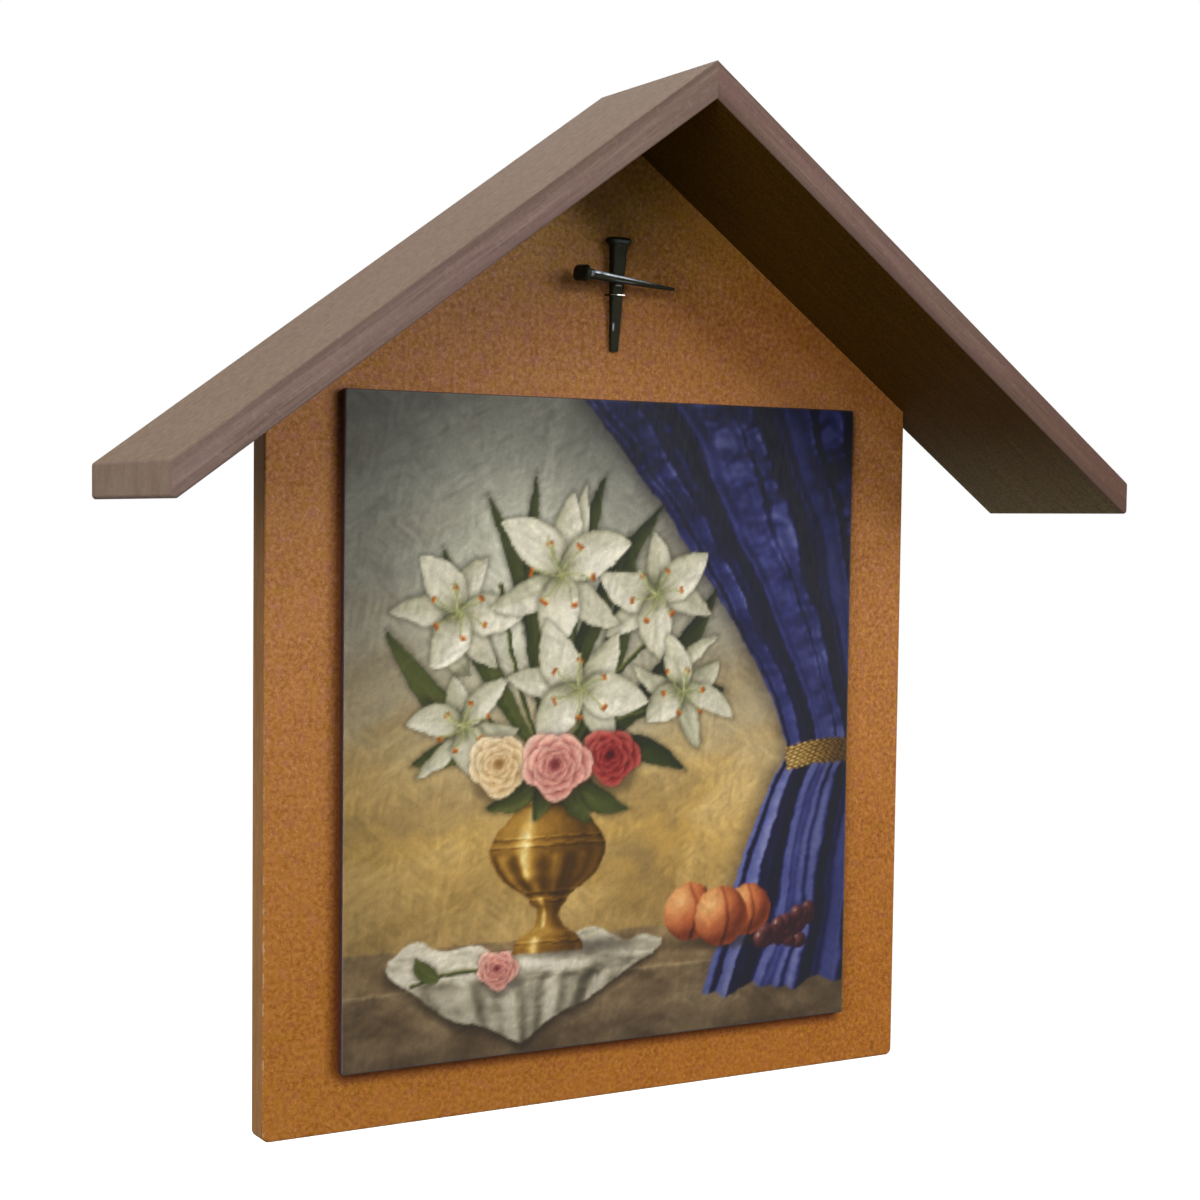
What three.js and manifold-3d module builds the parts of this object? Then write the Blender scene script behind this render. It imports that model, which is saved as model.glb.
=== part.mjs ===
// Outdoor wall shrine: a house-shaped backboard under a roof of two mitred boards, with a picture
// panel on its face and a small cross of two cut nails under the ridge.
// Millimetres. X runs to the viewer's right, Y runs back towards the wall, and Z runs up.
// The origin lies on the wall side of the backboard, midway between the two hanging screws.

import * as THREE from 'three';
import { mergeVertices } from 'three/addons/utils/BufferGeometryUtils.js';
import Module from 'manifold-3d';

const wasm = await Module();
wasm.setup();

// Clearances
const SEAT_GAP = 0.3; // between two pieces that bear on each other
const BOND_LINE = 0.05; // adhesive between two flat bonded faces
const HOLE_CLEARANCE = 0.3; // radial room round a screw, dowel or wire in its hole
const BLIND_COVER = 4; // wood left in the backboard beyond a blind hole
const CUT_OVERRUN = 2; // how far a cutting tool runs past the face that it leaves

// Picture: a printed film on a stiff panel, held by foam tape
const PICTURE_WIDTH = 394;
const PICTURE_HEIGHT = 432;
const PANEL_THICKNESS = 4.5;
const PANEL_EDGE_EASE = 0.5;
const PANEL_CORNER_RADIUS = 1.5;
const FILM_THICKNESS = 0.3;
const TAPE_THICKNESS = 1.1;
const TAPE_WIDTH = 25;
const TAPE_INSET = 14; // from the panel's edge to the tape
const TAPE_CORNER_GAP = 3; // between the upright strips and the level ones

// Backboard: its shoulders are level with the picture's top edge
const SIDE_MARGIN = 50.5; // beside the picture
const BOTTOM_MARGIN = 38; // below the picture
const BOARD_THICKNESS = 19;
const BOARD_CORNER_RADIUS = 5;
const BOARD_EDGE_EASE = 1.5;

// Roof boards
const ROOF_PITCH = THREE.MathUtils.degToRad(35.8);
const ROOF_THICKNESS = 19;
const ROOF_DEPTH = 140; // from the wall to the front edge
const EAVE_OVERHANG = 102.5; // beyond the side of the backboard
const ROOF_EDGE_EASE = 1.2;
const EAVE_CORNER_RADIUS = 2.5; // on the two corners of the plumb cut at the eave

// Dowels across the mitre
const DOWEL_RADIUS = 3;
const DOWEL_REACH = 10.5; // into each roof board
const DOWEL_CHAMFER = 0.8;
const DOWEL_INSET = 25; // from the roof's front and rear edges to the outer dowels

// Roof screws, in pocket holes drilled upwards from the back
const POCKET_ANGLE = THREE.MathUtils.degToRad(15);
const POCKET_RADIUS = 4.9;
const ROOF_SCREW_RADIUS = 1.9;
const ROOF_SCREW_FLANGE_RADIUS = 4.4;
const ROOF_SCREW_FLANGE_HEIGHT = 0.9;
const ROOF_SCREW_CROWN_RADIUS = 3.1;
const ROOF_SCREW_CROWN_TOP_RADIUS = 2.2;
const ROOF_SCREW_CROWN_SHOULDER = 2.3; // height at which the crown starts to draw in
const ROOF_SCREW_HEAD_HEIGHT = 3;
const ROOF_SCREW_POINT = 5;
const ROOF_SCREW_COVER = 6.5; // wood left in the roof board above the screw's point
const ROOF_SCREW_FROM_RIDGE = 75; // along the slope
const ROOF_SCREW_FROM_SHOULDER = 70; // along the slope

// Cut nails of the cross
const NAIL_LENGTH = 75;
const NAIL_HEAD_WIDTH = 18.4;
const NAIL_HEAD_THICKNESS = 11;
const NAIL_HEAD_HEIGHT = 7;
const NAIL_CROWN_HEIGHT = 3; // from the top of the head down to its widest edge
const NAIL_CROWN_INSET = 1; // how far the top of the head is drawn in
const NAIL_NECK_WIDTH = 11.6;
const NAIL_NECK_THICKNESS = 6.6;
const NAIL_TIP_WIDTH = 6.4;
const NAIL_TIP_THICKNESS = 2;
const NAIL_CORNER_SHARE = 0.28; // radius of the shank's corners, as a part of its thickness
const NAIL_HEAD_CORNER_SHARE = 0.42; // the same for the head, which is hammered rounder
const NAIL_TIP_ABOVE_PICTURE = 32;
const CROSSING_FROM_UPRIGHT_HEAD = 28;
const CROSSING_FROM_CROSSBAR_HEAD = 34.5;
const CROSSBAR_TILT = THREE.MathUtils.degToRad(5);
const BEAD_LEG = 1.4; // braze fillet, along each of the two faces that it joins
const BEAD_HOLLOW = 0.35; // how far the fillet's face is drawn in, as a part of its leg
const BEAD_END_MARGIN = 1; // from the bead's end to the upright's corner

// Wire staple over the upright nail
const WIRE_RADIUS = 0.7;
const WIRE_BEND_RADIUS = 1.6;
const WIRE_BELOW_CROSSING = 9.6;

// Keyhole hangers, let in flush on the back
const HANGER_WIDTH = 19;
const HANGER_LENGTH = 50;
const HANGER_THICKNESS = 1.6;
const HANGER_FROM_SIDE = 47.5; // from the side of the backboard to the hanger's centre line
const HANGER_BELOW_SHOULDER = 50; // down to where the hanging screw rests
const KEYHOLE_SLOT_RADIUS = 2.75;
const KEYHOLE_ENTRY_RADIUS = 5.25;
const KEYHOLE_TRAVEL = 14; // from the entry's centre up to the resting place
const HEAD_POCKET_ROOM = 1.25; // round the entry, for the hanging screw's head
const HEAD_POCKET_DEPTH = 8;
const HANGER_SCREW_INSET = 6; // from the hanger's end to its screw
const HANGER_SCREW_RADIUS = 1.7;
const HANGER_SCREW_HEAD_RADIUS = 3.4;
const HANGER_SCREW_SINK = 0.2; // head below the hanger's face
const HANGER_SCREW_POINT = 4;

// Facets
const EASE_SEGMENTS = 3;
const ARC_SEGMENTS = 6;
const ROUND_SEGMENTS = 16;
const FLARE_STEPS = 5;
const NAIL_CORNER_STEPS = 3;
const WIRE_STEPS = 44;
const WIRE_SIDES = 4; // curve segments of the wire's section, two facets each
const MERGE_DISTANCE = 1e-4; // points nearer than this are one point

// Derived places, with Z measured from the backboard's bottom edge
const boardWidth = PICTURE_WIDTH + 2 * SIDE_MARGIN;
const shoulderHeight = BOTTOM_MARGIN + PICTURE_HEIGHT;
const slope = Math.tan(ROOF_PITCH);
const boardApex = shoulderHeight + (boardWidth / 2) * slope;
const boardFront = -BOARD_THICKNESS;
const innerRidge = boardApex + SEAT_GAP / Math.cos(ROOF_PITCH);
const plumbHeight = ROOF_THICKNESS / Math.cos(ROOF_PITCH);
const hangingLine = shoulderHeight - HANGER_BELOW_SHOULDER;
const hangerX = boardWidth / 2 - HANGER_FROM_SIDE;

// Materials
function finish(color, roughness, metalness = 0) {
  return new THREE.MeshStandardMaterial({ color, roughness, metalness });
}
const fibreBoard = finish(0xa8642a, 0.72);
const roofWood = finish(0x7d6a60, 0.62);
const panelBoard = finish(0x2a1719, 0.5);
const printFilm = finish(0x8d8064, 0.4);
const foamTape = finish(0x8b8d8c, 0.9);
const blackIron = finish(0x1d1b19, 0.42, 0.85);
const brazeMetal = finish(0x8a8478, 0.35, 0.9);
const brightWire = finish(0xd0cdc4, 0.25, 1);
const zincSteel = finish(0xb4b7b8, 0.35, 1);
const dowelWood = finish(0xc9a877, 0.8);

// A closed geometry as a solid that can be cut and joined
function toSolid(geometry) {
  const bare = geometry.clone();
  bare.deleteAttribute('normal');
  bare.deleteAttribute('uv');
  const merged = mergeVertices(bare, MERGE_DISTANCE);
  return new wasm.Manifold(
    new wasm.Mesh({
      numProp: 3,
      vertProperties: merged.attributes.position.array,
      triVerts: new Uint32Array(merged.index.array),
    }),
  );
}

// A solid back as a geometry with flat facets
function toGeometry(solid) {
  const mesh = solid.getMesh();
  const indexed = new THREE.BufferGeometry();
  indexed.setAttribute('position', new THREE.BufferAttribute(mesh.vertProperties, 3));
  indexed.setIndex(new THREE.BufferAttribute(mesh.triVerts, 1));
  const geometry = indexed.toNonIndexed();
  geometry.computeVertexNormals();
  return geometry;
}

function cut(geometry, cutters) {
  return toGeometry(cutters.reduce((left, cutter) => left.subtract(toSolid(cutter)), toSolid(geometry)));
}

function piece(name, geometry, material) {
  const mesh = new THREE.Mesh(geometry, material);
  mesh.name = name;
  return mesh;
}

// An outline drawn in X and Z, carried from y = 0 forwards to y = -thickness, with its edges eased
function plate(outline, thickness, ease = 0) {
  const geometry = new THREE.ExtrudeGeometry(outline, {
    depth: thickness - 2 * ease,
    bevelEnabled: ease > 0,
    bevelThickness: ease,
    bevelSize: ease,
    bevelOffset: -ease,
    bevelSegments: EASE_SEGMENTS,
    curveSegments: ARC_SEGMENTS,
  });
  return geometry.translate(0, 0, ease).rotateX(Math.PI / 2);
}

function polygon(points) {
  return new THREE.Shape(points.map(([x, z]) => new THREE.Vector2(x, z)));
}

// Outline through [x, z, radius] points in order, with each corner rounded by its radius.
// The first corner stays sharp.
function filletedPolygon(points) {
  const shape = new THREE.Shape();
  points.forEach(([x, z, radius], i) => {
    if (i === 0) {
      shape.moveTo(x, z);
      return;
    }
    if (radius === 0) {
      shape.lineTo(x, z);
      return;
    }
    const corner = new THREE.Vector2(x, z);
    const toward = ([px, pz]) => new THREE.Vector2(px, pz).sub(corner).normalize();
    const back = toward(points[i - 1]);
    const onward = toward(points[(i + 1) % points.length]);
    const half = Math.acos(back.dot(onward)) / 2;
    const middle = back.clone().add(onward).setLength(radius / Math.sin(half)).add(corner);
    const touch = (leg) => leg.clone().setLength(radius / Math.tan(half)).add(corner);
    const bearing = (leg) => touch(leg).sub(middle).angle();
    const clockwise = back.cross(onward) > 0;
    shape.lineTo(...touch(back));
    shape.absarc(middle.x, middle.y, radius, bearing(back), bearing(onward), clockwise);
  });
  return shape;
}

// Rectangle centred on x = 0, with its lower corners rounded by one radius and its upper by another
function roundedRectangle(width, bottom, top, lowerRadius, upperRadius) {
  const side = width / 2;
  const shape = new THREE.Shape();
  shape.moveTo(-side + lowerRadius, bottom);
  shape.lineTo(side - lowerRadius, bottom);
  shape.absarc(side - lowerRadius, bottom + lowerRadius, lowerRadius, -Math.PI / 2, 0);
  if (upperRadius > 0) {
    shape.absarc(side - upperRadius, top - upperRadius, upperRadius, 0, Math.PI / 2);
    shape.absarc(-side + upperRadius, top - upperRadius, upperRadius, Math.PI / 2, Math.PI);
  } else {
    shape.lineTo(side, top);
    shape.lineTo(-side, top);
  }
  shape.absarc(-side + lowerRadius, bottom + lowerRadius, lowerRadius, Math.PI, 1.5 * Math.PI);
  return shape;
}

// A profile of [radius, height] pairs turned about Z, from its lowest point to its highest
function turned(profile) {
  const points = profile.map(([radius, height]) => new THREE.Vector2(radius, height));
  return new THREE.LatheGeometry(points, ROUND_SEGMENTS).rotateX(Math.PI / 2);
}

function rod(radius, from, to) {
  return turned([[0, from], [radius, from], [radius, to], [0, to]]);
}

// Turns a geometry's Z axis to a direction and moves its origin to a place
function aimed(geometry, place) {
  return geometry.clone().applyQuaternion(place.turn).translate(...place.point);
}

function aimMesh(mesh, place) {
  mesh.quaternion.copy(place.turn);
  mesh.position.copy(place.point);
  return mesh;
}

function placeAlong(point, direction) {
  const turn = new THREE.Quaternion().setFromUnitVectors(new THREE.Vector3(0, 0, 1), direction);
  return { point, turn };
}

// Roof screws
// Each head's seat lies where the pocket's rim just reaches the back face.
const pocketWeb = (BOARD_THICKNESS / 2 - POCKET_RADIUS * Math.cos(POCKET_ANGLE)) / Math.sin(POCKET_ANGLE);
const roofScrewBite = (ROOF_THICKNESS - ROOF_SCREW_COVER) / Math.cos(POCKET_ANGLE);
const roofScrewLength = pocketWeb + roofScrewBite;
const slopeLength = boardWidth / 2 / Math.cos(ROOF_PITCH);
const roofScrewStations = {
  upper: ROOF_SCREW_FROM_RIDGE,
  lower: slopeLength - ROOF_SCREW_FROM_SHOULDER,
};

// Seat of a screw's head, and its direction up through the middle of the sloping edge
function roofScrewPlace(side, fromRidge) {
  const square = new THREE.Vector3(side * Math.sin(ROOF_PITCH), 0, Math.cos(ROOF_PITCH));
  const direction = square.multiplyScalar(Math.cos(POCKET_ANGLE)).add(
    new THREE.Vector3(0, -Math.sin(POCKET_ANGLE), 0),
  );
  const seat = new THREE.Vector3(
    side * fromRidge * Math.cos(ROOF_PITCH),
    boardFront / 2,
    boardApex - fromRidge * Math.sin(ROOF_PITCH),
  ).addScaledVector(direction, -pocketWeb);
  return placeAlong(seat, direction);
}

const roofScrewPlaces = [];
for (const [sideName, side] of [['left', -1], ['right', 1]]) {
  for (const [level, fromRidge] of Object.entries(roofScrewStations)) {
    const name = `roof_screw_${sideName}_${level}`;
    roofScrewPlaces.push({ name, side, place: roofScrewPlace(side, fromRidge) });
  }
}

const roofScrewGeometry = turned([
  [0, -ROOF_SCREW_HEAD_HEIGHT],
  [ROOF_SCREW_CROWN_TOP_RADIUS, -ROOF_SCREW_HEAD_HEIGHT],
  [ROOF_SCREW_CROWN_RADIUS, -ROOF_SCREW_CROWN_SHOULDER],
  [ROOF_SCREW_CROWN_RADIUS, -ROOF_SCREW_FLANGE_HEIGHT],
  [ROOF_SCREW_FLANGE_RADIUS, -ROOF_SCREW_FLANGE_HEIGHT],
  [ROOF_SCREW_FLANGE_RADIUS, -SEAT_GAP],
  [ROOF_SCREW_RADIUS, -SEAT_GAP],
  [ROOF_SCREW_RADIUS, roofScrewLength - ROOF_SCREW_POINT],
  [0, roofScrewLength],
]);

// Hole for the shank, and the pocket that leaves through the back face
const pocketLength = (2 * POCKET_RADIUS * Math.cos(POCKET_ANGLE)) / Math.sin(POCKET_ANGLE) + CUT_OVERRUN;
const shankHole = rod(ROOF_SCREW_RADIUS + HOLE_CLEARANCE, -CUT_OVERRUN, roofScrewLength + HOLE_CLEARANCE);
const pocketHole = rod(POCKET_RADIUS, -pocketLength, 0);

// Ridge dowels
// Each lies level across the mitre, as far below the roof's top as above its underside.
const dowelHoleReach = DOWEL_REACH + SEAT_GAP;
const dowelHeight = innerRidge + (plumbHeight - dowelHoleReach * slope) / 2;
const dowelStations = {
  front: DOWEL_INSET - ROOF_DEPTH,
  middle: -ROOF_DEPTH / 2,
  rear: -DOWEL_INSET,
};
const dowelPlaces = Object.entries(dowelStations).map(([level, y]) => ({
  name: `ridge_dowel_${level}`,
  place: placeAlong(new THREE.Vector3(0, y, dowelHeight), new THREE.Vector3(1, 0, 0)),
}));
const dowelGeometry = turned([
  [0, -DOWEL_REACH],
  [DOWEL_RADIUS - DOWEL_CHAMFER, -DOWEL_REACH],
  [DOWEL_RADIUS, -DOWEL_REACH + DOWEL_CHAMFER],
  [DOWEL_RADIUS, DOWEL_REACH - DOWEL_CHAMFER],
  [DOWEL_RADIUS - DOWEL_CHAMFER, DOWEL_REACH],
  [0, DOWEL_REACH],
]);
const dowelHole = rod(DOWEL_RADIUS + HOLE_CLEARANCE, -dowelHoleReach, dowelHoleReach);

// Roof boards
// Each is drawn past the ridge and trimmed plumb there, so its eased edges run square into the mitre.
function roofBoard(name, side) {
  const eave = boardWidth / 2 + EAVE_OVERHANG;
  const past = -ROOF_THICKNESS;
  const underside = (x) => innerRidge - x * slope;
  const profile = filletedPolygon([
    [side * past, underside(past), 0],
    [side * eave, underside(eave), EAVE_CORNER_RADIUS],
    [side * eave, underside(eave) + plumbHeight, EAVE_CORNER_RADIUS],
    [side * past, underside(past) + plumbHeight, 0],
  ]);
  const trimWidth = BOND_LINE / 2 - past + CUT_OVERRUN;
  const trimHeight = plumbHeight + trimWidth * slope;
  const trim = new THREE.BoxGeometry(trimWidth, ROOF_DEPTH + 2 * CUT_OVERRUN, 2 * trimHeight);
  trim.translate((side * (BOND_LINE - trimWidth)) / 2, -ROOF_DEPTH / 2, innerRidge);
  const dowelHoles = dowelPlaces.map(({ place }) => aimed(dowelHole, place));
  const screwHoles = roofScrewPlaces
    .filter((screw) => screw.side === side)
    .map(({ place }) => aimed(shankHole, place));
  const board = plate(profile, ROOF_DEPTH, ROOF_EDGE_EASE);
  return piece(name, cut(board, [trim, ...dowelHoles, ...screwHoles]), roofWood);
}

// Picture panel, film and tape
const tapeBack = boardFront - BOND_LINE;
const panelBack = tapeBack - TAPE_THICKNESS - BOND_LINE;
const filmBack = panelBack - PANEL_THICKNESS - BOND_LINE;

function pictureRectangle(inset) {
  const radius = PANEL_CORNER_RADIUS - inset;
  return roundedRectangle(
    PICTURE_WIDTH - 2 * inset,
    BOTTOM_MARGIN + inset,
    shoulderHeight - inset,
    radius,
    radius,
  );
}

function tapeStrip(name, x, z, width, height) {
  const strip = piece(name, new THREE.BoxGeometry(width, TAPE_THICKNESS, height), foamTape);
  strip.position.set(x, tapeBack - TAPE_THICKNESS / 2, z);
  return strip;
}

function pictureGroup() {
  const group = new THREE.Group();
  const panelGeometry = plate(pictureRectangle(0), PANEL_THICKNESS, PANEL_EDGE_EASE);
  const panel = piece('picture_panel', panelGeometry, panelBoard);
  panel.position.y = panelBack;
  const filmGeometry = plate(pictureRectangle(PANEL_EDGE_EASE), FILM_THICKNESS);
  const film = piece('picture_film', filmGeometry, printFilm);
  film.position.y = filmBack;
  group.add(panel, film);

  const middle = BOTTOM_MARGIN + PICTURE_HEIGHT / 2;
  const levelLength = PICTURE_WIDTH - 2 * TAPE_INSET;
  const levelOffset = PICTURE_HEIGHT / 2 - TAPE_INSET - TAPE_WIDTH / 2;
  const uprightLength = PICTURE_HEIGHT - 2 * (TAPE_INSET + TAPE_WIDTH + TAPE_CORNER_GAP);
  const uprightOffset = PICTURE_WIDTH / 2 - TAPE_INSET - TAPE_WIDTH / 2;
  group.add(
    tapeStrip('mounting_tape_top', 0, middle + levelOffset, levelLength, TAPE_WIDTH),
    tapeStrip('mounting_tape_bottom', 0, middle - levelOffset, levelLength, TAPE_WIDTH),
    tapeStrip('mounting_tape_left', -uprightOffset, middle, TAPE_WIDTH, uprightLength),
    tapeStrip('mounting_tape_right', uprightOffset, middle, TAPE_WIDTH, uprightLength),
  );
  return group;
}

// Cut nail
// It hangs down from the top of its head at z = 0. X is its width and Y is its thickness.
function taper(neck, tip, fromHead) {
  return neck + ((tip - neck) * (fromHead - NAIL_HEAD_HEIGHT)) / (NAIL_LENGTH - NAIL_HEAD_HEIGHT);
}
const nailWidth = (fromHead) => taper(NAIL_NECK_WIDTH, NAIL_TIP_WIDTH, fromHead);
const nailThickness = (fromHead) => taper(NAIL_NECK_THICKNESS, NAIL_TIP_THICKNESS, fromHead);
const halfTaper = (neck, tip) => Math.atan((neck - tip) / 2 / (NAIL_LENGTH - NAIL_HEAD_HEIGHT));
const widthTaper = halfTaper(NAIL_NECK_WIDTH, NAIL_TIP_WIDTH);
const thicknessTaper = halfTaper(NAIL_NECK_THICKNESS, NAIL_TIP_THICKNESS);

// Rectangle with rounded corners, at one height of the nail
function nailSection(width, thickness, z, cornerShare) {
  const radius = cornerShare * thickness;
  const points = [];
  for (const [quarter, xSign, ySign] of [[0, 1, 1], [1, -1, 1], [2, -1, -1], [3, 1, -1]]) {
    for (let step = 0; step <= NAIL_CORNER_STEPS; step += 1) {
      const angle = ((quarter + step / NAIL_CORNER_STEPS) * Math.PI) / 2;
      points.push([
        xSign * (width / 2 - radius) + radius * Math.cos(angle),
        ySign * (thickness / 2 - radius) + radius * Math.sin(angle),
        z,
      ]);
    }
  }
  return points;
}

// Closed skin through a row of convex sections, each with as many points, from the lowest to the highest
function loft(sections) {
  const count = sections[0].length;
  const last = (sections.length - 1) * count;
  const faces = [];
  for (let level = 0; level < sections.length - 1; level += 1) {
    for (let i = 0; i < count; i += 1) {
      const a = level * count + i;
      const b = level * count + ((i + 1) % count);
      faces.push(a, b, b + count, a, b + count, a + count);
    }
  }
  for (let i = 1; i < count - 1; i += 1) {
    faces.push(0, i + 1, i, last, last + i, last + i + 1);
  }
  const geometry = new THREE.BufferGeometry();
  geometry.setAttribute('position', new THREE.Float32BufferAttribute(sections.flat(2), 3));
  geometry.setIndex(faces);
  const flat = geometry.toNonIndexed();
  flat.computeVertexNormals();
  return flat;
}

function nailGeometry() {
  const sections = [
    nailSection(NAIL_TIP_WIDTH, NAIL_TIP_THICKNESS, -NAIL_LENGTH, NAIL_CORNER_SHARE),
    nailSection(NAIL_NECK_WIDTH, NAIL_NECK_THICKNESS, -NAIL_HEAD_HEIGHT, NAIL_CORNER_SHARE),
  ];
  // The head flares out from the neck like a trumpet, slowly at first.
  for (let step = 1; step <= FLARE_STEPS; step += 1) {
    const rise = step / FLARE_STEPS;
    const flare = rise * rise;
    sections.push(
      nailSection(
        NAIL_NECK_WIDTH + (NAIL_HEAD_WIDTH - NAIL_NECK_WIDTH) * flare,
        NAIL_NECK_THICKNESS + (NAIL_HEAD_THICKNESS - NAIL_NECK_THICKNESS) * flare,
        -NAIL_HEAD_HEIGHT + (NAIL_HEAD_HEIGHT - NAIL_CROWN_HEIGHT) * rise,
        NAIL_CORNER_SHARE + (NAIL_HEAD_CORNER_SHARE - NAIL_CORNER_SHARE) * rise,
      ),
    );
  }
  const crownWidth = NAIL_HEAD_WIDTH - 2 * NAIL_CROWN_INSET;
  const crownThickness = NAIL_HEAD_THICKNESS - 2 * NAIL_CROWN_INSET;
  sections.push(
    nailSection(NAIL_HEAD_WIDTH, NAIL_HEAD_THICKNESS, -NAIL_CROWN_HEIGHT / 2, NAIL_HEAD_CORNER_SHARE),
    nailSection(crownWidth, crownThickness, 0, NAIL_HEAD_CORNER_SHARE),
  );
  return loft(sections);
}

// Concave fillet in the corner between two faces, centred along its length
function beadGeometry(length) {
  const shape = new THREE.Shape();
  const hollow = BEAD_LEG * BEAD_HOLLOW;
  shape.moveTo(0, 0);
  shape.lineTo(BEAD_LEG, 0);
  shape.quadraticCurveTo(hollow, hollow, 0, BEAD_LEG);
  const bead = new THREE.ExtrudeGeometry(shape, {
    depth: length,
    bevelEnabled: false,
    curveSegments: ARC_SEGMENTS,
  });
  return bead.translate(0, 0, -length / 2);
}

// The upright leans until its head and its tip both lie on the backboard.
const uprightLean = Math.atan(
  (NAIL_HEAD_THICKNESS - NAIL_TIP_THICKNESS) / 2 / (NAIL_LENGTH - NAIL_CROWN_HEIGHT),
);
const uprightReach =
  (NAIL_HEAD_THICKNESS / 2) * Math.cos(uprightLean) + NAIL_CROWN_HEIGHT * Math.sin(uprightLean);
const uprightTop = shoulderHeight + NAIL_TIP_ABOVE_PICTURE + NAIL_LENGTH;
const upright = new THREE.Group();
upright.position.set(0, boardFront - SEAT_GAP - uprightReach, uprightTop);
upright.rotation.x = uprightLean;
upright.updateMatrix();

// A point on the middle of the upright's front face, in the nail's own frame
function uprightFront(fromHead) {
  return new THREE.Vector3(0, -nailThickness(fromHead) / 2, -fromHead);
}

function nailCross() {
  upright.add(piece('upright_nail', nailGeometry(), blackIron));

  // Everything at the crossing stands on the upright's tapering front face.
  const seat = new THREE.Group();
  seat.position.copy(uprightFront(CROSSING_FROM_UPRIGHT_HEAD));
  seat.rotation.x = thicknessTaper;
  upright.add(seat);
  const tilted = new THREE.Group();
  tilted.rotation.y = CROSSBAR_TILT;
  seat.add(tilted);

  // The crossbar lies on edge, with its back face flat on that seat.
  const crossbar = piece('crossbar_nail', nailGeometry(), blackIron);
  crossbar.quaternion.setFromRotationMatrix(
    new THREE.Matrix4().makeBasis(
      new THREE.Vector3(0, -1, 0),
      new THREE.Vector3(0, 0, 1),
      new THREE.Vector3(-1, 0, 0),
    ),
  );
  crossbar.position.x = -CROSSING_FROM_CROSSBAR_HEAD;
  const swung = new THREE.Group();
  swung.rotation.z = widthTaper;
  swung.position.y = -SEAT_GAP - (nailWidth(CROSSING_FROM_CROSSBAR_HEAD) / 2) * Math.cos(widthTaper);
  swung.add(crossbar);
  tilted.add(swung);

  // A fillet of braze fills the corner above the crossbar, and another the corner below.
  const corner = NAIL_CORNER_SHARE * nailThickness(CROSSING_FROM_UPRIGHT_HEAD);
  const length = nailWidth(CROSSING_FROM_UPRIGHT_HEAD) - 2 * (corner + BEAD_END_MARGIN);
  const offset = nailThickness(CROSSING_FROM_CROSSBAR_HEAD) / 2 + SEAT_GAP;
  for (const [name, up] of [['braze_bead_lower', -1], ['braze_bead_upper', 1]]) {
    const bead = piece(name, beadGeometry(length), brazeMetal);
    bead.quaternion.setFromRotationMatrix(
      new THREE.Matrix4().makeBasis(
        new THREE.Vector3(0, -1, 0),
        new THREE.Vector3(0, 0, up),
        new THREE.Vector3(-up, 0, 0),
      ),
    );
    const follow = new THREE.Group();
    follow.position.set(0, -SEAT_GAP, up * offset);
    follow.rotation.y = up * thicknessTaper;
    follow.add(bead);
    tilted.add(follow);
  }
  return upright;
}

// Wire staple
const wireFromHead = CROSSING_FROM_UPRIGHT_HEAD + WIRE_BELOW_CROSSING;
const wireCrown = uprightFront(wireFromHead).applyMatrix4(upright.matrix);
const wireLegX = nailWidth(wireFromHead) / 2 + SEAT_GAP + WIRE_RADIUS;
const wireFrontY = wireCrown.y - SEAT_GAP - WIRE_RADIUS;
const wireEndY = -BLIND_COVER - SEAT_GAP;

function wireStaple() {
  const at = (x, y) => new THREE.Vector3(x, y, wireCrown.z);
  const path = new THREE.CurvePath();
  path.add(new THREE.LineCurve3(at(-wireLegX, wireEndY), at(-wireLegX, wireFrontY + WIRE_BEND_RADIUS)));
  path.add(
    new THREE.QuadraticBezierCurve3(
      at(-wireLegX, wireFrontY + WIRE_BEND_RADIUS),
      at(-wireLegX, wireFrontY),
      at(-wireLegX + WIRE_BEND_RADIUS, wireFrontY),
    ),
  );
  path.add(
    new THREE.LineCurve3(
      at(-wireLegX + WIRE_BEND_RADIUS, wireFrontY),
      at(wireLegX - WIRE_BEND_RADIUS, wireFrontY),
    ),
  );
  path.add(
    new THREE.QuadraticBezierCurve3(
      at(wireLegX - WIRE_BEND_RADIUS, wireFrontY),
      at(wireLegX, wireFrontY),
      at(wireLegX, wireFrontY + WIRE_BEND_RADIUS),
    ),
  );
  path.add(new THREE.LineCurve3(at(wireLegX, wireFrontY + WIRE_BEND_RADIUS), at(wireLegX, wireEndY)));
  const section = new THREE.Shape();
  section.absarc(0, 0, WIRE_RADIUS, 0, 2 * Math.PI);
  const geometry = new THREE.ExtrudeGeometry(section, {
    steps: WIRE_STEPS,
    curveSegments: WIRE_SIDES,
    extrudePath: path,
  });
  return piece('wire_staple', geometry, brightWire);
}

function wireHoles() {
  const depth = BOARD_THICKNESS - BLIND_COVER + CUT_OVERRUN;
  return [-1, 1].map((side) => {
    const hole = new THREE.CylinderGeometry(
      WIRE_RADIUS + HOLE_CLEARANCE,
      WIRE_RADIUS + HOLE_CLEARANCE,
      depth,
      ROUND_SEGMENTS,
    );
    return hole.translate(side * wireLegX, -BLIND_COVER - depth / 2, wireCrown.z);
  });
}

// Keyhole hangers
// Each is drawn with its hanging screw's resting place at the origin, facing the wall.
const hangerMiddle = -KEYHOLE_TRAVEL / 2;
const hangerScrewOffset = HANGER_LENGTH / 2 - HANGER_SCREW_INSET;
const hangerScrewLength = BOARD_THICKNESS - BLIND_COVER - HANGER_SCREW_SINK - SEAT_GAP;
const hangerScrewCone = HANGER_SCREW_HEAD_RADIUS - HANGER_SCREW_RADIUS;

function hangerOutline(room) {
  const radius = HANGER_WIDTH / 2 + room;
  return roundedRectangle(
    2 * radius,
    hangerMiddle - HANGER_LENGTH / 2 - room,
    hangerMiddle + HANGER_LENGTH / 2 + room,
    radius,
    radius,
  );
}

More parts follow.
